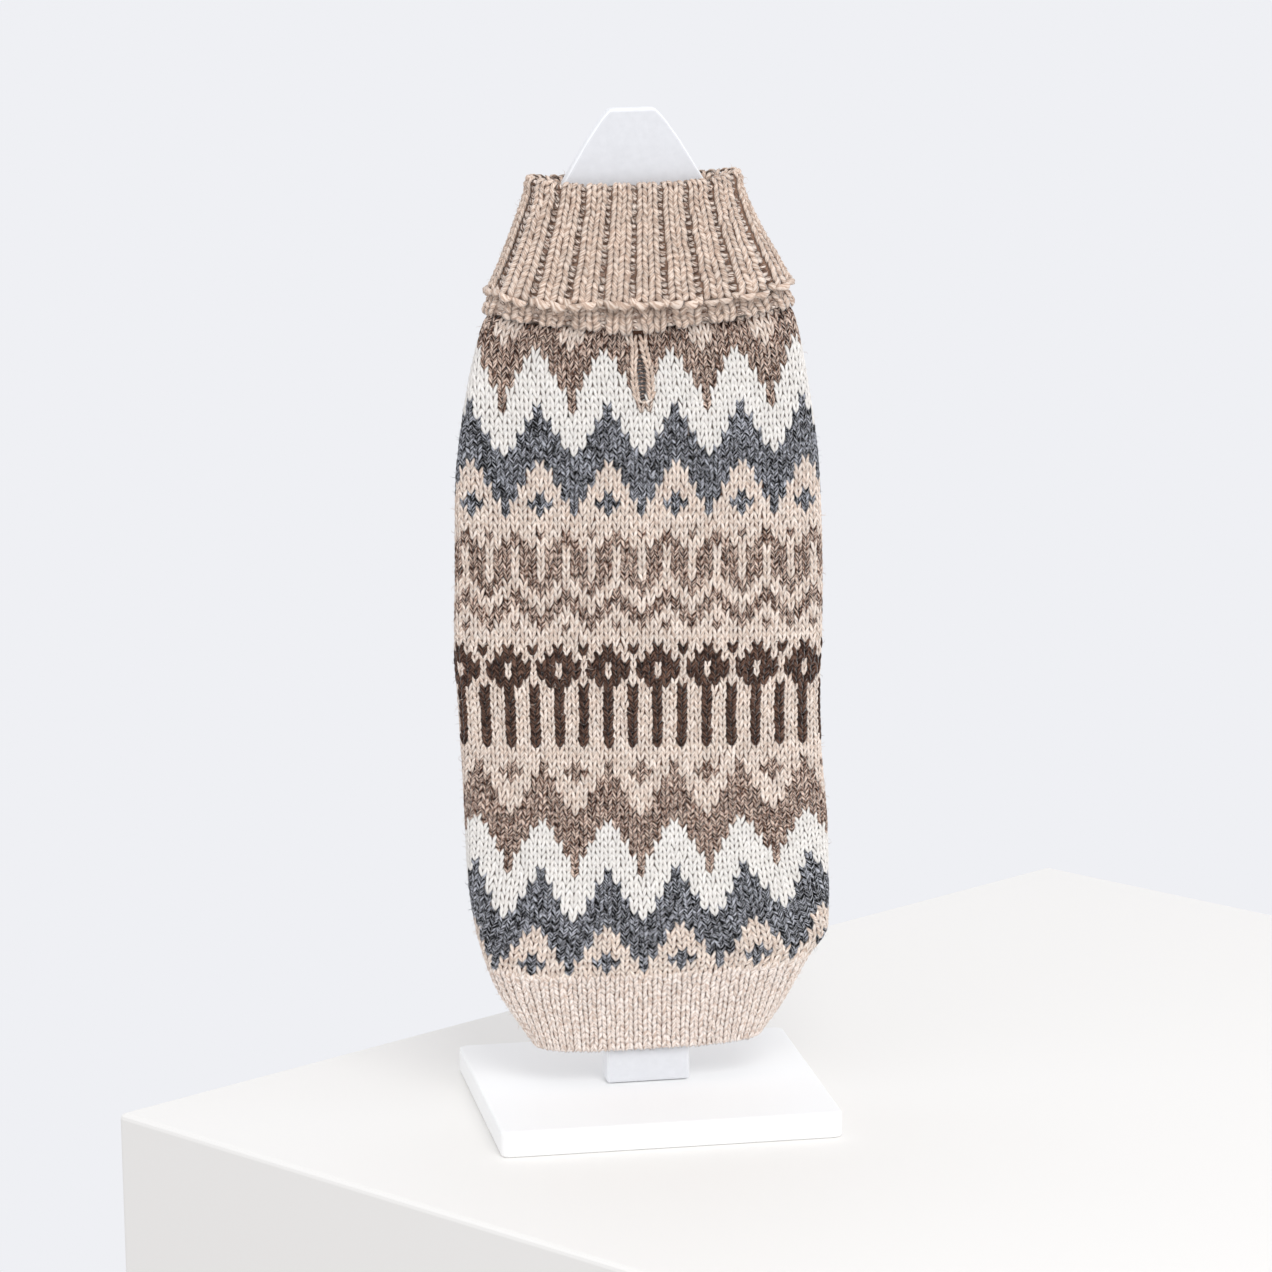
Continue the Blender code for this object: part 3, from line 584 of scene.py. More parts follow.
def chart(rows, columns):
    rows, columns = np.ceil(rows - 0.01).astype(int), np.round(columns).astype(int)
    yarn = np.zeros(len(rows), int)
    for first, name in grounds:
        yarn[rows >= first] = yarnNumber[name]
    for name, middle, first, halves in motifs:
        for k, half in enumerate(halves):
            yarn[(rows == first + k) & (np.abs((columns - middle + 4) % 8 - 4) <= half)] = yarnNumber[name]
    for first, last, name, repeat, inside in bands:
        yarn[(rows >= first) & (rows <= last) & np.isin(columns % repeat, inside)] = yarnNumber[name]
    return yarn


# body of the sweater: two panels of stocking stitch. Lengths are in mm, and a look is that of layStitches
bodyPlan = {
    "columns": 96,                            # stitches round
    "sink": 0.75,                             # the stitches' middle lies this far inside the rings
    "seamDip": 1.3, "seamReach": 0.9,         # how deep a side seam lies, and how many columns it draws in
    "edgeSlack": 0.0005, "clothSlack": 0.0008,      # share of a ring by which stitches and cloth meet at the seams
    "loft": 0.4, "widen": 0.24,               # the chocolate yarn is loftier and wider than the rest
    "dorsal": (1.0, 1.0, 1.0, 0.09, 5), "belly": (1.0, 1.0, 1.0, 0.09, 7),
    "dorsalHalf": 27, "bellyHalf": 21,        # columns to either side of the middle; those past the seams are left out
    "dorsalRows": [("upper", (1, 46)), ("lower", (46, 92))], "bellyRows": (0, 92)}
# the panels' cloths: ahead is the rows by which a face's colour leads its place; it is cut from slitFrom to slitPast
# along the slit and drawn in slitNear beyond it; holeDraw, holeRim and holeCut are distances from a leg's middle
panelPlan = {"top": 397.5, "foot": 0.3, "rows": 90, "wall": 1.0, "sink": 1.2, "ahead": 1.8,
             "dorsalLines": 78, "bellyLines": 66, "slitFrom": 9, "slitPast": 0.5, "slitNear": 3, "slitSlack": 0.5,
             "holeDraw": (15.5, 20.5), "holeRim": 18.6, "holeCut": 18.3}
# soft troughs and ridges of the worn cloth: x and height of both ends, half width, depth (minus is a ridge), in mm
dorsalCreases = [
    (-78, 330, -84, 210, 9, 0.8), (76, 300, 80, 190, 10, 0.7), (-60, 150, -72, 84, 9, 1.1), (64, 140, 76, 84, 9, 1.2),
    (-30, 118, -34, 60, 10, 0.7), (26, 116, 32, 62, 9, 0.8), (0, 130, -4, 70, 12, -0.5), (-52, 372, -66, 340, 8, 0.7),
    (54, 374, 68, 338, 9, 0.8), (-20, 260, -24, 200, 14, 0.4), (34, 250, 30, 196, 13, 0.4)]
bellyCreases = [
    (-72, 260, -78, 150, 9, 1.0), (70, 250, 78, 146, 10, 1.0), (-24, 290, -30, 180, 12, 0.7),
    (22, 284, 26, 176, 11, 0.8), (-46, 180, -54, 118, 8, 1.0), (44, 178, 52, 116, 9, 1.1), (0, 380, 0, 318, 12, 0.8),
    (-62, 372, -70, 336, 8, 0.7), (62, 372, 70, 338, 8, 0.7)]


def creased(points, out):
    depth = np.zeros(len(points))
    for front, creases in ((True, dorsalCreases), (False, bellyCreases)):
        for x0, z0, x1, z1, half, deep in creases:
            start, run = np.array((x0, z0)), np.array((x1 - x0, z1 - z0))
            spot = points[:, [0, 2]] - start
            share = np.clip(spot @ run / (run @ run), 0, 1)
            away = np.linalg.norm(spot - share[:, None] * run, axis=1)
            ends = 0.35 + 0.65 * np.sin(pi * np.clip(share, 0.02, 0.98))      # shallower towards its ends
            depth += np.where((points[:, 1] < 0) == front, deep * ends * np.exp(-(away / half) ** 2), 0)
    return points - out * depth[:, None]


def bodyPoints(height, turn):
    return ringPoints(ringsAt(bodyRings, height), turn)


def rowAt(height):
    return along([(-h, r) for r, h in rowHeights], -height)


# how far a row of the dorsal panel lies above its height in the middle, in millimetres
def climb(rows, columns):
    return along(rowRise, rows) * (columns / 20) ** 2 + along(rowTilt, rows) * columns / 20


# ring height and turn of a place on the dorsal panel, and the row and column of a ring height and turn
def dorsalRing(rows, columns):
    height = along(rowHeights, rows) + climb(rows, columns)
    middle, left, right = (along(columnFit, height, k) for k in (1, 2, 3))
    return height, (middle + columns * np.where(columns < 0, left, right)) / bodyPlan["columns"]


def dorsalCount(height, turn):
    middle, left, right = (along(columnFit, height, k) for k in (1, 2, 3))
    columns = turn * bodyPlan["columns"] - middle
    columns = columns / np.where(columns < 0, left, right)
    return rowAt(height - climb(rowAt(height), columns)), columns


# heights of a column's rings, how high it lies at each, and how high it would without the arch. The belly's hem is
# arched, so its rows lie level with the dorsal panel's and stop at the hem
def bellyLevels(turn):
    heights = np.linspace(425, 55, 371)
    track = bodyPoints(heights, np.full(len(heights), turn))
    rings = ringsAt(bodyRings, heights)
    width = rings[:, 2] if track[0, 0] > 0 else rings[:, 1]
    behind = abs((turn + 0.5) % 1 - 0.5) > 0.25
    return heights, track[:, 2], track[:, 2] - behind * rings[:, 6] * (1 - (track[:, 0] / width) ** 2)


def bellyRing(rows, columns):
    turn = 0.5 + columns / bodyPlan["columns"]
    height, wanted = np.empty(len(rows)), along(rowHeights, rows)
    for one in np.unique(turn):
        same = turn == one
        heights, lifted, level = bellyLevels(one)
        height[same] = np.interp(-np.interp(-wanted[same], -heights, level), -lifted, heights)
    return height, turn


def bellyCount(height, turn):
    rows = np.empty(len(height))
    for one in np.unique(turn):
        same = turn == one
        heights, lifted, level = bellyLevels(one)
        rows[same] = rowAt(np.interp(-np.interp(-height[same], -heights, lifted), -level, heights))
    return rows, (turn - 0.5) * bodyPlan["columns"]


# the leash slit, seen from the front: the ends of its middle line, and its half opening by distance down
bandLow, bandHigh = (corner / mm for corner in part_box("slit_band"))
slitPlan = {"top": np.array((bandLow.x + 4.5, bandHigh.z - 0.4)), "foot": np.array((bandHigh.x - 9.1, bandLow.z + 4.6)),
            "length": 30.1, "opening": [(0, 0.6), (8, 0.8), (11, 1.6), (15, 2.1), (25, 2.2), (28, 1.9), (30, 1.3)],
            "bandLeft": 2.0, "bandRight": 3.9, "bandFoot": 3.2}      # what the band covers of the panel round it
slitRun = (slitPlan["foot"] - slitPlan["top"]) / slitPlan["length"]
slitSide = np.array((-slitRun[1], slitRun[0]))
# leg cuffs, set into the belly panel and pointing back, out and down
cuffLow, cuffHigh = (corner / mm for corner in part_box("right_leg_cuff"))
cuffPlan = {"x": (cuffLow.x + cuffHigh.x) / 2 - 1.0, "z": (cuffLow.z + cuffHigh.z) / 2 + 1.6, "root": 10.2,
            "radius": 20.0, "taper": 0.92, "reach": 20.0, "inset": 12.0, "turnOut": 14, "turnDown": 24,
            "columns": 30, "row": 3.2, "wall": 1.0, "sink": 0.75, "edgeSink": 0.6, "clothSink": 1.25,
            "rows": (2, 10), "edgeRow": 0.45, "clothRows": (0.1, 9.3, 12),
            "stitchesFrom": 13.2, "clothFrom": 10.6,      # nothing of a cuff lies further forward in the body
            "knit": (1.1, 1.05, 1.05, 0.08, 51), "edgeBar": (1.1, 1.2, 1.3, 0.1, 52)}


# distance to the right of the leash slit's middle line and down it, seen from the front
def bySlit(points):
    spot = points[:, [0, 2]] - slitPlan["top"]
    return spot @ slitSide, spot @ slitRun


def fromLegHole(points):
    return np.hypot(np.abs(points[:, 0]) - cuffPlan["x"], points[:, 2] - cuffPlan["z"])


def inDorsal(points):
    offset, down = bySlit(points)
    half = along(slitPlan["opening"], down)
    clear = (offset < -half - slitPlan["bandLeft"]) | (offset > half + slitPlan["bandRight"])
    return clear | (down > slitPlan["length"] + slitPlan["bandFoot"])


def inBelly(points):
    return fromLegHole(points) > cuffPlan["radius"] + 0.5


# stitches of a panel whose middle is at a turn and whose seams lie half a panel to either side
def panelStitches(name, loop, ring, rows, reach, middleTurn, half, inside):
    rows, columns = lattice(np.arange(*rows), np.arange(-reach, reach + 1))
    height, turn = ring(rows, columns)
    within = (np.abs(turn - middleTurn) < half + bodyPlan["edgeSlack"]) & (height > hemSeam)
    keep = within & inside(bodyPoints(height, turn))
    rows, columns = rows[keep], columns[keep]
    middle, across, up, out, bends = stepsOn(lambda r, c: bodyPoints(*ring(r, c)), rows - stitchMiddle, columns)
    away = (half - np.abs(ring(rows, columns)[1] - middleTurn)) * bodyPlan["columns"]
    dip = bodyPlan["sink"] + bodyPlan["seamDip"] * np.exp(-(away / bodyPlan["seamReach"]) ** 2)
    yarn = chart(rows, columns)
    thick = yarn == yarnNumber["chocolate"]
    return joined(f"{name}_stitches", [layStitches(
        loop, (creased(middle, out), across, up, out, bends), yarn, bodyPlan[name.split("_")[0]],
        bodyPlan["loft"] * thick - dip, 1 + bodyPlan["widen"] * thick)])


pieces = {}
for label, rows in bodyPlan["dorsalRows"]:
    pieces[f"dorsal_{label}_stitches"] = panelStitches(
        f"dorsal_{label}", "knit", dorsalRing, rows, bodyPlan["dorsalHalf"], 0, sideSeam, inDorsal)
pieces["belly_stitches"] = panelStitches(
    "belly", "plainKnit", bellyRing, bodyPlan["bellyRows"], bodyPlan["bellyHalf"], 0.5, 0.5 - sideSeam, inBelly)
print("jacquard stitches laid")


def panelCloth(name, turns, count, slit=False, holes=False):
    plan = panelPlan
    heights = np.linspace(plan["top"], hemSeam + plan["foot"], plan["rows"])
    level, turn = lattice(heights, turns)
    points, across, up, out, bends = stepsOn(lambda r, c: bodyPoints(-r, c), -level, turn, 0.004)
    points = creased(points, out)
    left = int(np.argmin(np.abs(turns)))
    if slit:      # the two middle lines of the grid are drawn to the slit's edges
        grid = points.reshape(len(heights), len(turns), 3)
        for side, column in ((-1, left), (1, left + 1)):
            offset, down = bySlit(grid[:, column])
            near = (down > -plan["slitNear"]) & (down < slitPlan["length"] + plan["slitNear"])
            grid[near, column, 0] += (side * (along(slitPlan["opening"], down) + plan["slitSlack"]) - offset)[near]
        points = grid.reshape(-1, 3)
    points = points - out * plan["sink"]
    if holes:     # the grid's points near a leg opening are drawn to its rim
        for side in (-1, 1):
            spot = points[:, [0, 2]] - (side * cuffPlan["x"], cuffPlan["z"])
            near = np.hypot(*spot.T)
            pull = (near > plan["holeDraw"][0]) & (near < plan["holeDraw"][1])
            points[pull, 0] = side * cuffPlan["x"] + spot[pull, 0] / near[pull] * plan["holeRim"]
            points[pull, 2] = cuffPlan["z"] + spot[pull, 1] / near[pull] * plan["holeRim"]
    grid = points.reshape(len(heights), len(turns), 3)
    yarn = chart(*count(level - plan["ahead"], turn + (turns[1] - turns[0]) / 2)).reshape(len(heights), len(turns))

    def keep(r, c):
        middle = (grid[r, c] + grid[r + 1, c] + grid[r, c + 1] + grid[r + 1, c + 1])[None] / 4
        if slit and c == left and plan["slitFrom"] < bySlit(middle)[1][0] < slitPlan["length"] + plan["slitPast"]:
            return False
        return not (holes and fromLegHole(middle)[0] < plan["holeCut"])
    return makeCloth(name, grid, plan["wall"], yarn, False, keep)


edge = sideSeam - bodyPlan["clothSlack"]
pieces["dorsal_panel_cloth"] = panelCloth(
    "dorsal_panel_cloth", np.linspace(-edge, edge, panelPlan["dorsalLines"]), dorsalCount, slit=True)
edge = sideSeam + bodyPlan["clothSlack"]
pieces["belly_panel_cloth"] = panelCloth(
    "belly_panel_cloth", np.linspace(edge, 1 - edge, panelPlan["bellyLines"]), bellyCount, holes=True)
print("panels cut")


# ribbed hem, knit one purl one, drawn in so far that the purl columns close up
hemPlan = {"columns": 72, "rows": 12, "sink": 0.75, "edgeSink": 0.85, "wall": 1.0, "edge": 31.0, "hang": 0.85,
           "widest": 84.0, "turn": 0.3, "edgeRow": 11.7,
           "knit": (1.1, 1.05, 1.05, 0.08, 21), "edgeBar": (0.9, 0.8, 0.9, 0.12, 22),
           "clothRows": (0.1, 11.8, 16), "clothSink": 0.5, "clothWave": 0.25}      # the wave lifts it under each rib


def hemPlace(rows, columns):
    height = hemSeam + (hemPlan["edge"] - hemSeam) * rows / hemPlan["rows"]
    place = (columns + hemPlan["turn"]) / hemPlan["columns"]
    turn = (place + 0.25) % 0.5 - 0.25
    # the ribbing draws in most at the sides, so its middle columns hang straight
    drawnIn = (ringsAt(bodyRings, height)[:, 2] / hemPlan["widest"]) ** -hemPlan["hang"] - 1
    return bodyPoints(height, place + turn * np.maximum(drawnIn, 0) * (1 - (turn / 0.25) ** 2))


# the stitches of a ribbed tube: its ribs, and the purl bar along its edge
def makeRib(name, place, steps, plan, yarn, side=1):
    knit = layStitches("rib", steps, yarn, plan["knit"], -plan["sink"])
    rows, columns = lattice([plan["edgeRow"]], np.arange(plan["columns"]) + 0.5)
    bar = layStitches("purl", stepsOn(place, rows, columns, side=side), yarn, plan["edgeBar"], -plan["edgeSink"])
    return joined(name, [knit, bar])


def makeHem():
    def lift(row, column):
        return hemPlan["clothWave"] * np.cos(2 * pi * column) - hemPlan["sink"] - hemPlan["clothSink"]

    grid = gridOn(hemPlace, np.linspace(*hemPlan["clothRows"]), np.arange(hemPlan["columns"] * 3) / 3, lift)
    cloth = makeCloth("hem_rib_cloth", grid, hemPlan["wall"], "hemBeige")
    rows, columns = lattice(np.arange(0.0, hemPlan["rows"] + 0.1), np.arange(hemPlan["columns"]))
    steps = stepsOn(hemPlace, rows - stitchMiddle, columns)
    return makeRib("hem_rib_stitches", hemPlace, steps, hemPlan, "hemBeige"), cloth


pieces["hem_rib_stitches"], pieces["hem_rib_cloth"] = makeHem()

# Roll collar, knit two purl one. Its rows are counted from the cast-off edge, up the fall, over the fold
# and down inside the stand; the stand's other face shows as a narrow strip under the fall.
collarPlan = {
    "units": 19, "row": 3.2, "wall": 1.0, "foldRise": 9.2, "turn": -0.01, "gather": 0.0064, "lean": -0.008,
    "rib": [(0.195, 0.39, "knit"), (0.585, 0.39, "knit"), (0.89, 0.22, "purl")],    # its columns' middles and widths
    "behind": 11, "reach": 0.4,      # rows laid past the fold, and how far from its middle a stitch's bend is measured
    "strip": (1.1, 1.15, 1.1, 0.18, 34), "stripRows": 6, "stripCurl": 0.5, "stripDrawIn": 0.035,
    "stripLift": [(0, 0.0), (14, 1.6), (30, 3.4), (64, 4.2), (77, 1.5)],      # by the distance from the middle, in mm
    "castOff": (1.02, 1.45, 1.6, 0.26, 33),
    "clothRib": ([0, 0.1, 0.66, 0.8, 0.96, 1], [-0.1, 0.15, 0.15, -1.4, -1.4, -0.1]), "clothStrip": 0.2,
    "clothRows": 56}
# how the two kinds of column differ; the lifts are those of the fall, the cast-off edge and the strip
collarColumns = {
    "knit": {"loop": "rib", "yarn": "collarBeige", "look": (1.1, 1.05, 1.35, 0.08, 31),
             "lifts": (0.7, 1.1, 1.2), "castOffRow": -0.1},
    "purl": {"loop": "purl", "yarn": "purlBeige", "look": (1.6, 1.5, 1.1, 0.2, 32),
             "lifts": (-0.6, 0.3, 0.5), "castOffRow": 0.4}}


def collarPath():
    turnOver = []
    for k in range(1, 7):
        ring = standRings[-1] + (fallRings[0] - standRings[-1]) * (1 - cos(pi * k / 7)) / 2
        ring[0] += collarPlan["foldRise"] * sin(pi * k / 7)
        turnOver.append(ring)
    rings = np.array([*standRings, *turnOver, *fallRings])[::-1]
    fine = ringsThrough(rings, np.linspace(0, len(rings) - 1, 400))
    track = ringPoints(fine, np.zeros(400))
    lengths = np.concatenate([[0], np.linalg.norm(np.diff(track, axis=0), axis=1).cumsum()])
    return fine, lengths - lengths[np.argmin(np.abs(fine[:200, 0] - 409))]      # counted from the ring drawn at 409


collarRings, collarLengths = collarPath()
collarTop = collarLengths[np.argmax(collarRings[:, 0])] / collarPlan["row"]
collarEnd = collarLengths[-1] / collarPlan["row"]


def collarPlace(rows, columns):
    ring = np.stack([np.interp(rows * collarPlan["row"], collarLengths, collarRings[:, k]) for k in range(7)], 1)
    turns = (columns + collarPlan["turn"]) / collarPlan["units"]
    down = np.clip(1 - rows / collarTop, 0, 1)         # the ribs fan out less in the middle of the fall
    points = ringPoints(ring, turns + down * (collarPlan["lean"] - collarPlan["gather"] * np.sin(4 * pi * turns)))
    # the strip under the fall is pulled up and in towards its sides
    low = np.clip((rows - collarEnd + collarPlan["stripRows"]) / collarPlan["stripRows"], 0, 1)
    points[:, 2] += low * along(collarPlan["stripLift"], np.abs(points[:, 0]))
    points[:, 0] *= 1 - collarPlan["stripDrawIn"] * low
    return points


# the fall, the fold and the cast-off edge face away from the rings, the strip does not
def makeCollar():
    fall, strip, units, reach = [], [], np.arange(collarPlan["units"]), collarPlan["reach"]
    for place, share, kind in collarPlan["rib"]:
        column = collarColumns[kind]
        rows, columns = lattice(np.arange(1, int(collarTop + collarPlan["behind"])) - 0.2, units + place)
        fall.append(layStitches(column["loop"], stepsOn(collarPlace, rows, columns, reach, -1), column["yarn"],
                                column["look"], column["lifts"][0], share))
        rows, columns = lattice([column["castOffRow"]], units + place)
        middle, across, up, out, bends = stepsOn(collarPlace, rows, columns, reach, -1)
        fall.append(layStitches("castOff", (middle, across, -up, out, bends), "collarBeige", collarPlan["castOff"],
                                column["lifts"][1], share))
    for place, share, kind in collarPlan["rib"]:
        column = collarColumns[kind]
        rows, columns = lattice(collarEnd - 0.5 - np.arange(collarPlan["stripRows"]), units + place)
        curl = np.clip(rows - collarEnd + 2.0, 0, 1.5)      # its lower edge curls a little away from the body
        strip.append(layStitches(column["loop"], stepsOn(collarPlace, rows, columns, reach), column["yarn"],
                                 collarPlan["strip"], column["lifts"][2] + collarPlan["stripCurl"] * curl, share))
    return joined("roll_collar_stitches", fall), joined("collar_strip_stitches", strip)


def makeCollarCloth():
    def lift(row, column):
        return np.where(row > collarTop + 2, collarPlan["clothStrip"], np.interp(column % 1, *collarPlan["clothRib"]))

    rows, columns = np.linspace(0.3, collarEnd - 0.2, collarPlan["clothRows"]), np.arange(collarPlan["units"] * 8) / 8
    grid = gridOn(collarPlace, rows, columns, lift, collarPlan["reach"], -1)
    return makeCloth("roll_collar_cloth", grid[::-1], collarPlan["wall"], "purlBeige")


pieces["roll_collar_cloth"] = makeCollarCloth()
pieces["roll_collar_stitches"], pieces["collar_strip_stitches"] = makeCollar()
print("collar knitted")


def cuffPlace(side):
    place = Vector((side * cuffPlan["x"], cuffPlan["root"], cuffPlan["z"]))
    turnOut = Matrix.Rotation(radians(-side * cuffPlan["turnOut"]), 4, "Z")
    turnDown = Matrix.Rotation(radians(-90 - cuffPlan["turnDown"]), 4, "X")
    cuffFrame = np.array(Matrix.Translation(place) @ turnOut @ turnDown)
    taper = (1 - cuffPlan["taper"]) / (cuffPlan["reach"] + cuffPlan["inset"])

    def at(rows, columns):
        out = cuffPlan["reach"] - rows * cuffPlan["row"]
        radius = cuffPlan["radius"] * (1 - taper * (out + cuffPlan["inset"]))
        angle = -2 * pi * columns / cuffPlan["columns"]
        local = np.stack([radius * np.cos(angle), radius * np.sin(angle), out, np.ones(len(rows))], 1)
        return (local @ cuffFrame.T)[:, :3]
    return at


def makeCuff(side, name):
    place = cuffPlace(side)
    rows, columns = lattice(np.arange(*cuffPlan["rows"]), np.arange(cuffPlan["columns"]))
    steps = stepsOn(place, rows - stitchMiddle, columns, side=-1)
    keep = steps[0][:, 1] > cuffPlan["stitchesFrom"]
    stitches = makeRib(f"{name}_stitches", place, [part[keep] for part in steps], cuffPlan, "beige", -1)
    columns = np.arange(cuffPlan["columns"] * 2) / 2
    grid = gridOn(place, np.linspace(*cuffPlan["clothRows"]), columns, -cuffPlan["clothSink"], side=-1)
    grid[:, :, 1] = np.maximum(grid[:, :, 1], cuffPlan["clothFrom"])
    return stitches, makeCloth(f"{name}_cloth", grid[::-1], cuffPlan["wall"], "beige")


for side, name in ((-1, "left_leg_cuff"), (1, "right_leg_cuff")):
    pieces[f"{name}_stitches"], pieces[f"{name}_cloth"] = makeCuff(side, name)
print("cuffs knitted")

# leash slit: a column of knit stitches down each edge, loops round its foot and a facing behind it. edges are
# side, distance from the opening, width of a column and look; foot is the loops' angles, centre, reaches and look
bandPlan = {"row": 3.1, "rows": 10, "lift": 0.1,
            "edges": [(1, 2.0, 4.0, (1.0, 1.0, 1.0, 0.08, 61)), (-1, 1.7, 3.5, (1.0, 1.05, 1.0, 0.05, 62))],
            "footAngles": [185, 222, 262, 300, 340], "footMiddle": (0.3, -0.9), "footReach": (2.9, 2.6),
            "footLift": 0.15, "footSize": (2.5, 2.7), "foot": (1.15, 1.0, 0.9, 0.1, 63),
            "closeBelow": 3.6, "closeSize": (4.1, 3.7),
            "facing": (1.25, 1.1, 0.5, 0.1, 64), "facingFrom": 8.0, "facingBehind": -1.9, "facingSize": (2.2, 2.0)}


# a place on the dorsal panel by its distance to the right of the slit's middle line and down it, lifted by some mm
def besideSlit(offset, down, lift):
    turns = np.linspace(-0.1, 0.1, 201)
    place = []
    for x, z in slitPlan["top"] + slitRun * down[:, None] + slitSide * offset[:, None]:
        level = ringPoints(np.repeat(ringsAt(bodyRings, np.array([z])), 201, 0), turns)
        place.append(bodyPoints(np.array([z]), np.array([np.interp(x, level[:, 0], turns)]))[0])
    return np.array(place) - (0, lift, 0)


# stitches on besideSlit, too small to be bent
def bandStitches(loop, place, rows, columns, yarn, look):
    middle, across, up, out, bends = stepsOn(lambda r, c: besideSlit(*place(r, c)), *lattice(rows, columns))
    return layStitches(loop, (middle, across, up, out, bends * 0), yarn, look)


def makeSlitBand(plan):
    meshes = []
    for side, away, wide, look in plan["edges"]:
        meshes.append(bandStitches("knit", lambda r, c: (
            side * (along(slitPlan["opening"], r * plan["row"]) + away) + c * wide, r * plan["row"], plan["lift"]),
            np.arange(plan["rows"]) + 0.3, [0.0], "collarBeige", look))
    angles = np.radians(plan["footAngles"])
    count, flat = len(angles), np.zeros(len(angles))
    (right, below), (wide, tall) = plan["footMiddle"], plan["footReach"]
    down = slitPlan["length"] + below - tall * np.sin(angles)
    middle = besideSlit(wide * np.cos(angles) + right, down, plan["footLift"])
    around = plan["footSize"][0] * np.stack([-np.sin(angles), flat, np.cos(angles)], 1)
    outwards = plan["footSize"][1] * np.stack([np.cos(angles), flat, np.sin(angles)], 1)
    out = np.tile((0.0, -1.0, 0.0), (count, 1))
    meshes.append(layStitches("purl", (middle, around, outwards, out, np.zeros((count, 3))), "beige", plan["foot"]))
    wide, tall = plan["closeSize"]      # two knit stitches close the panel below the foot
    meshes.append(bandStitches("knit", lambda r, c: (c * wide, slitPlan["length"] + plan["closeBelow"] + r * tall, 0.0),
                               [0.0], [-0.45, 0.55], "purlBeige", plan["edges"][0][3]))
    across, down = plan["facingSize"]      # the facing has its purl side outwards
    # painted shade: a knitted facing is seen there, and its dark taupe stands for the shade inside the slit
    meshes.append(bandStitches("purl", lambda r, c: (c * across, r * down + plan["facingFrom"], plan["facingBehind"]),
                               np.arange(12), [-1.0, 0.0, 1.0], "taupe", plan["facing"]))
    return joined("slit_band_stitches", meshes)


pieces["slit_band_stitches"] = makeSlitBand(bandPlan)


# stray hairs over every cloth's outer face, drawn a little thicker than real wool so that they show
def makeHairs(name, cloths, plan):
    meshes = []
    for k, cloth in enumerate(cloths):
        mesh = cloth.data.copy()
        mesh.materials.clear()
        made = grow(f"{name}{k}", mesh, hairNodes, hairInputs, {
            "Hair": strayHair, "Hairs per m2": plan["density"], "Length": plan["length"] * mm,
            "Seed": plan["seed"] + k})
        made.materials.pop(index=0)      # the bare slot that the cloth's cleared materials leave
        meshes.append(made)
    return joined(name, meshes)


pieces["stray_wool_hairs"] = makeHairs("stray_wool_hairs", [pieces[f"{name}_cloth"] for name in (
    "dorsal_panel", "belly_panel", "hem_rib", "roll_collar", "left_leg_cuff", "right_leg_cuff")], hairPlan)
print("hairs scattered")

# studio: a pale square plinth as the floor, a pale room and soft even light
stagePlan = {"corner": (-0.2638, 0.0388), "turn": 34.9, "length": 0.706, "width": 0.80, "depth": 0.6, "bevel": 3,
             "paint": "#F4F2EE", "room": "#EFF0F4", "roomFloor": "#A8A29E", "roomLight": 1.0, "aim": (0, 0, 0.22)}
lamps = {"keyLight": {"place": (0.35, -2.2, 2.1), "size": 1.5, "power": 30},
         "fillLight": {"place": (0.9, -2.6, 0.5), "size": 1.8, "power": 4}}


# Matt emulsion paint, rolled on smooth: even and pale, with hardly any stipple.
def emulsionPaint(add, look):
    place = add("ShaderNodeTexCoord").outputs["Object"]
    stipple = add("ShaderNodeTexNoise", {"Vector": place, "Scale": 400.0})
    bump = add("ShaderNodeBump", {"Height": stipple, "Strength": 0.05, "Distance": 0.1 * mm})
    return {"Base Color": linear(look["paint"]), "Normal": bump, "Roughness": 0.6}


def makeFloor(plan):
    turn, corner = radians(plan["turn"]), Vector((*plan["corner"], 0))
    side, front = Vector((cos(turn), sin(turn), 0)) * plan["length"], Vector((sin(turn), -cos(turn), 0)) * plan["width"]
    top = [corner, corner + side, corner + side + front, corner + front]
    mesh = bpy.data.meshes.new("floor")
    mesh.from_pydata([*top, *[p - Vector((0, 0, plan["depth"])) for p in top]], [], [
        (3, 2, 1, 0), *[(k, (k + 1) % 4, (k + 1) % 4 + 4, k + 4) for k in range(4)], (4, 5, 6, 7)])
    mesh.materials.append(newMaterial("plinthPaint", emulsionPaint, plan))
    floor = addObject("floor", mesh)
    soft = floor.modifiers.new("edges", "BEVEL")
    soft.width, soft.segments = plan["bevel"] * mm, 3


# the walls are pale, and the studio's floor, seen only by the plinth's sides, is darker
def makeRoom(plan):
    world = bpy.data.worlds.new("paleRoom")
    world.use_nodes = True
    tree = world.node_tree
    add, back = partial(addNode, tree), tree.nodes["Background"]
    heading = add("ShaderNodeSeparateXYZ", {0: add("ShaderNodeTexCoord").outputs["Generated"]})
    height = add("ShaderNodeMapRange", {"Value": heading.outputs["Z"], "From Min": -1.0, "From Max": 0.0})
    walls = add("ShaderNodeValToRGB", {"Fac": height}, [(0.3, linear(plan["roomFloor"])), (0.66, linear(plan["room"]))])
    tree.links.new(walls.outputs[0], back.inputs["Color"])
    back.inputs["Strength"].default_value = plan["roomLight"]
    scene.world = world
    for name, lamp in lamps.items():
        data = bpy.data.lights.new(name, "AREA")
        data.size, data.energy = lamp["size"], lamp["power"]
        light = bpy.data.objects.new(name, data)
        light.location = lamp["place"]
        light.rotation_euler = (Vector(plan["aim"]) - Vector(lamp["place"])).to_track_quat("-Z", "Y").to_euler()
        scene.collection.objects.link(light)


makeFloor(stagePlan)
makeRoom(stagePlan)
print("stage set")
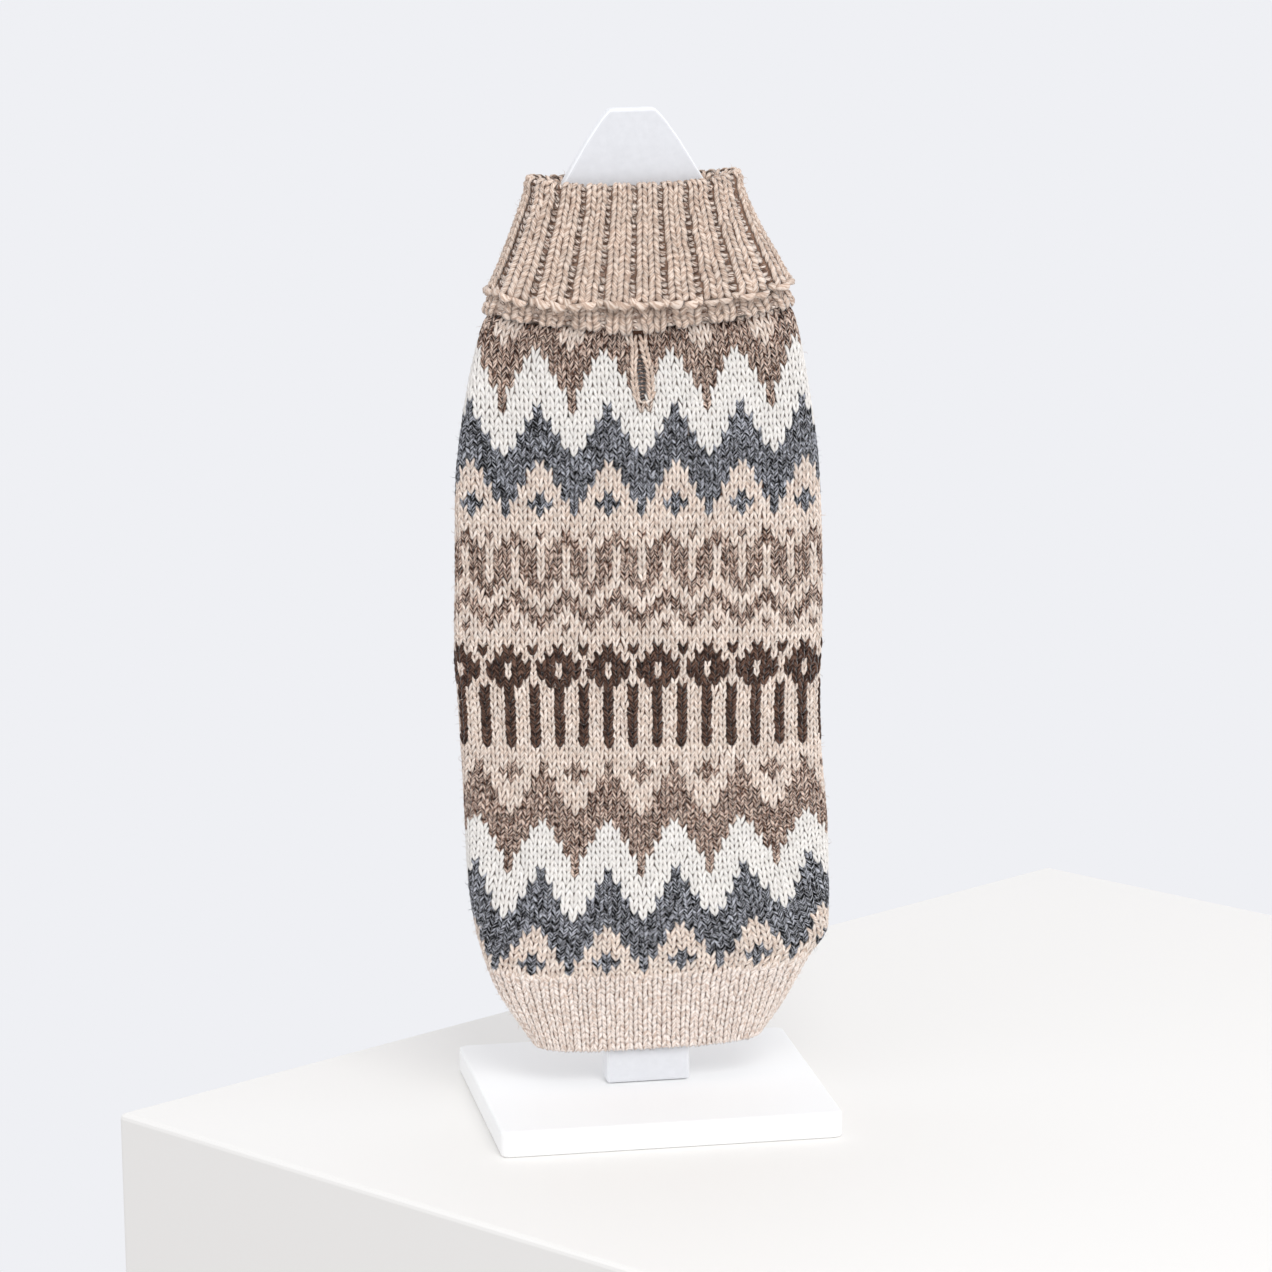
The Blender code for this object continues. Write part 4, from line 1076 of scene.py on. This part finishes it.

# white board, post and base keep the model's own shape; grain is in mm; dark and light are greyed for the painted shade
# on the faces that look front and back, and edge is the painted light on their top, sides and rounded edges
paints = {
    "boardLacquer": {"dark": "#D9DADD", "light": "#DEDFE2", "edge": "#F4F5F7",
                     "grain": 3.0, "bump": 0.08, "roughness": 0.4},
    "woodPaint": {"dark": "#F7F7F6", "light": "#FBFBFA", "edge": "#FCFCFB",
                  "grain": 6.0, "bump": 0.2, "roughness": 0.5}}


# Brushed white paint on wood and board: satin, almost even, with a faint brush grain in its sheen.
def brushedPaint(add, look):
    place = add("ShaderNodeTexCoord").outputs["Object"]
    grain = add("ShaderNodeTexNoise", {"Vector": place, "Scale": 1 / (look["grain"] * mm), "Detail": 3.0})
    colour = add("ShaderNodeValToRGB", {"Fac": grain}, [(0.3, linear(look["dark"])), (0.7, linear(look["light"]))])
    bump = add("ShaderNodeBump", {"Height": grain, "Strength": look["bump"], "Distance": 0.05 * mm})
    # painted light and shade: the faces that look front and back keep the greyer paint colours for the shade on them,
    # and the top, sides and rounded edges are painted the paler edge colour for the light they catch
    facing = add("ShaderNodeSeparateXYZ", {0: add("ShaderNodeNewGeometry").outputs["Normal"]})
    flat = add("ShaderNodeMath", {0: facing.outputs["Y"]}, operation="ABSOLUTE")
    paintedEdgeLight = add("ShaderNodeMapRange", {"Value": flat, "From Min": 0.97, "From Max": 0.75})
    litEdgeColour = add("ShaderNodeMix", {0: paintedEdgeLight, 6: colour, 7: linear(look["edge"])}, data_type="RGBA")
    return {
        "Base Color": litEdgeColour.outputs[2], "Normal": bump, "Roughness": look["roughness"], "IOR": 1.5}


boardPaint, woodPaint = (newMaterial(name, brushedPaint, look) for name, look in paints.items())
for node, material in (("display_form", boardPaint), ("stand_post", boardPaint), ("stand_base", woodPaint)):
    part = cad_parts[node]
    part.data.materials.clear()
    part.data.materials.append(material)

for name, piece in pieces.items():
    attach(piece, "root")
for piece, node in (("dorsal_panel_cloth", "back_panel"), ("belly_panel_cloth", "belly_panel"),
                    ("hem_rib_cloth", "hem_rib"), ("roll_collar_cloth", "roll_collar"),
                    ("left_leg_cuff_cloth", "left_leg_cuff"), ("right_leg_cuff_cloth", "right_leg_cuff"),
                    ("slit_band_stitches", "slit_band")):
    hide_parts(node)

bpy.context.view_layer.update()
for name, piece in pieces.items():
    print(name, sum(len(face.vertices) - 2 for face in piece.data.polygons))
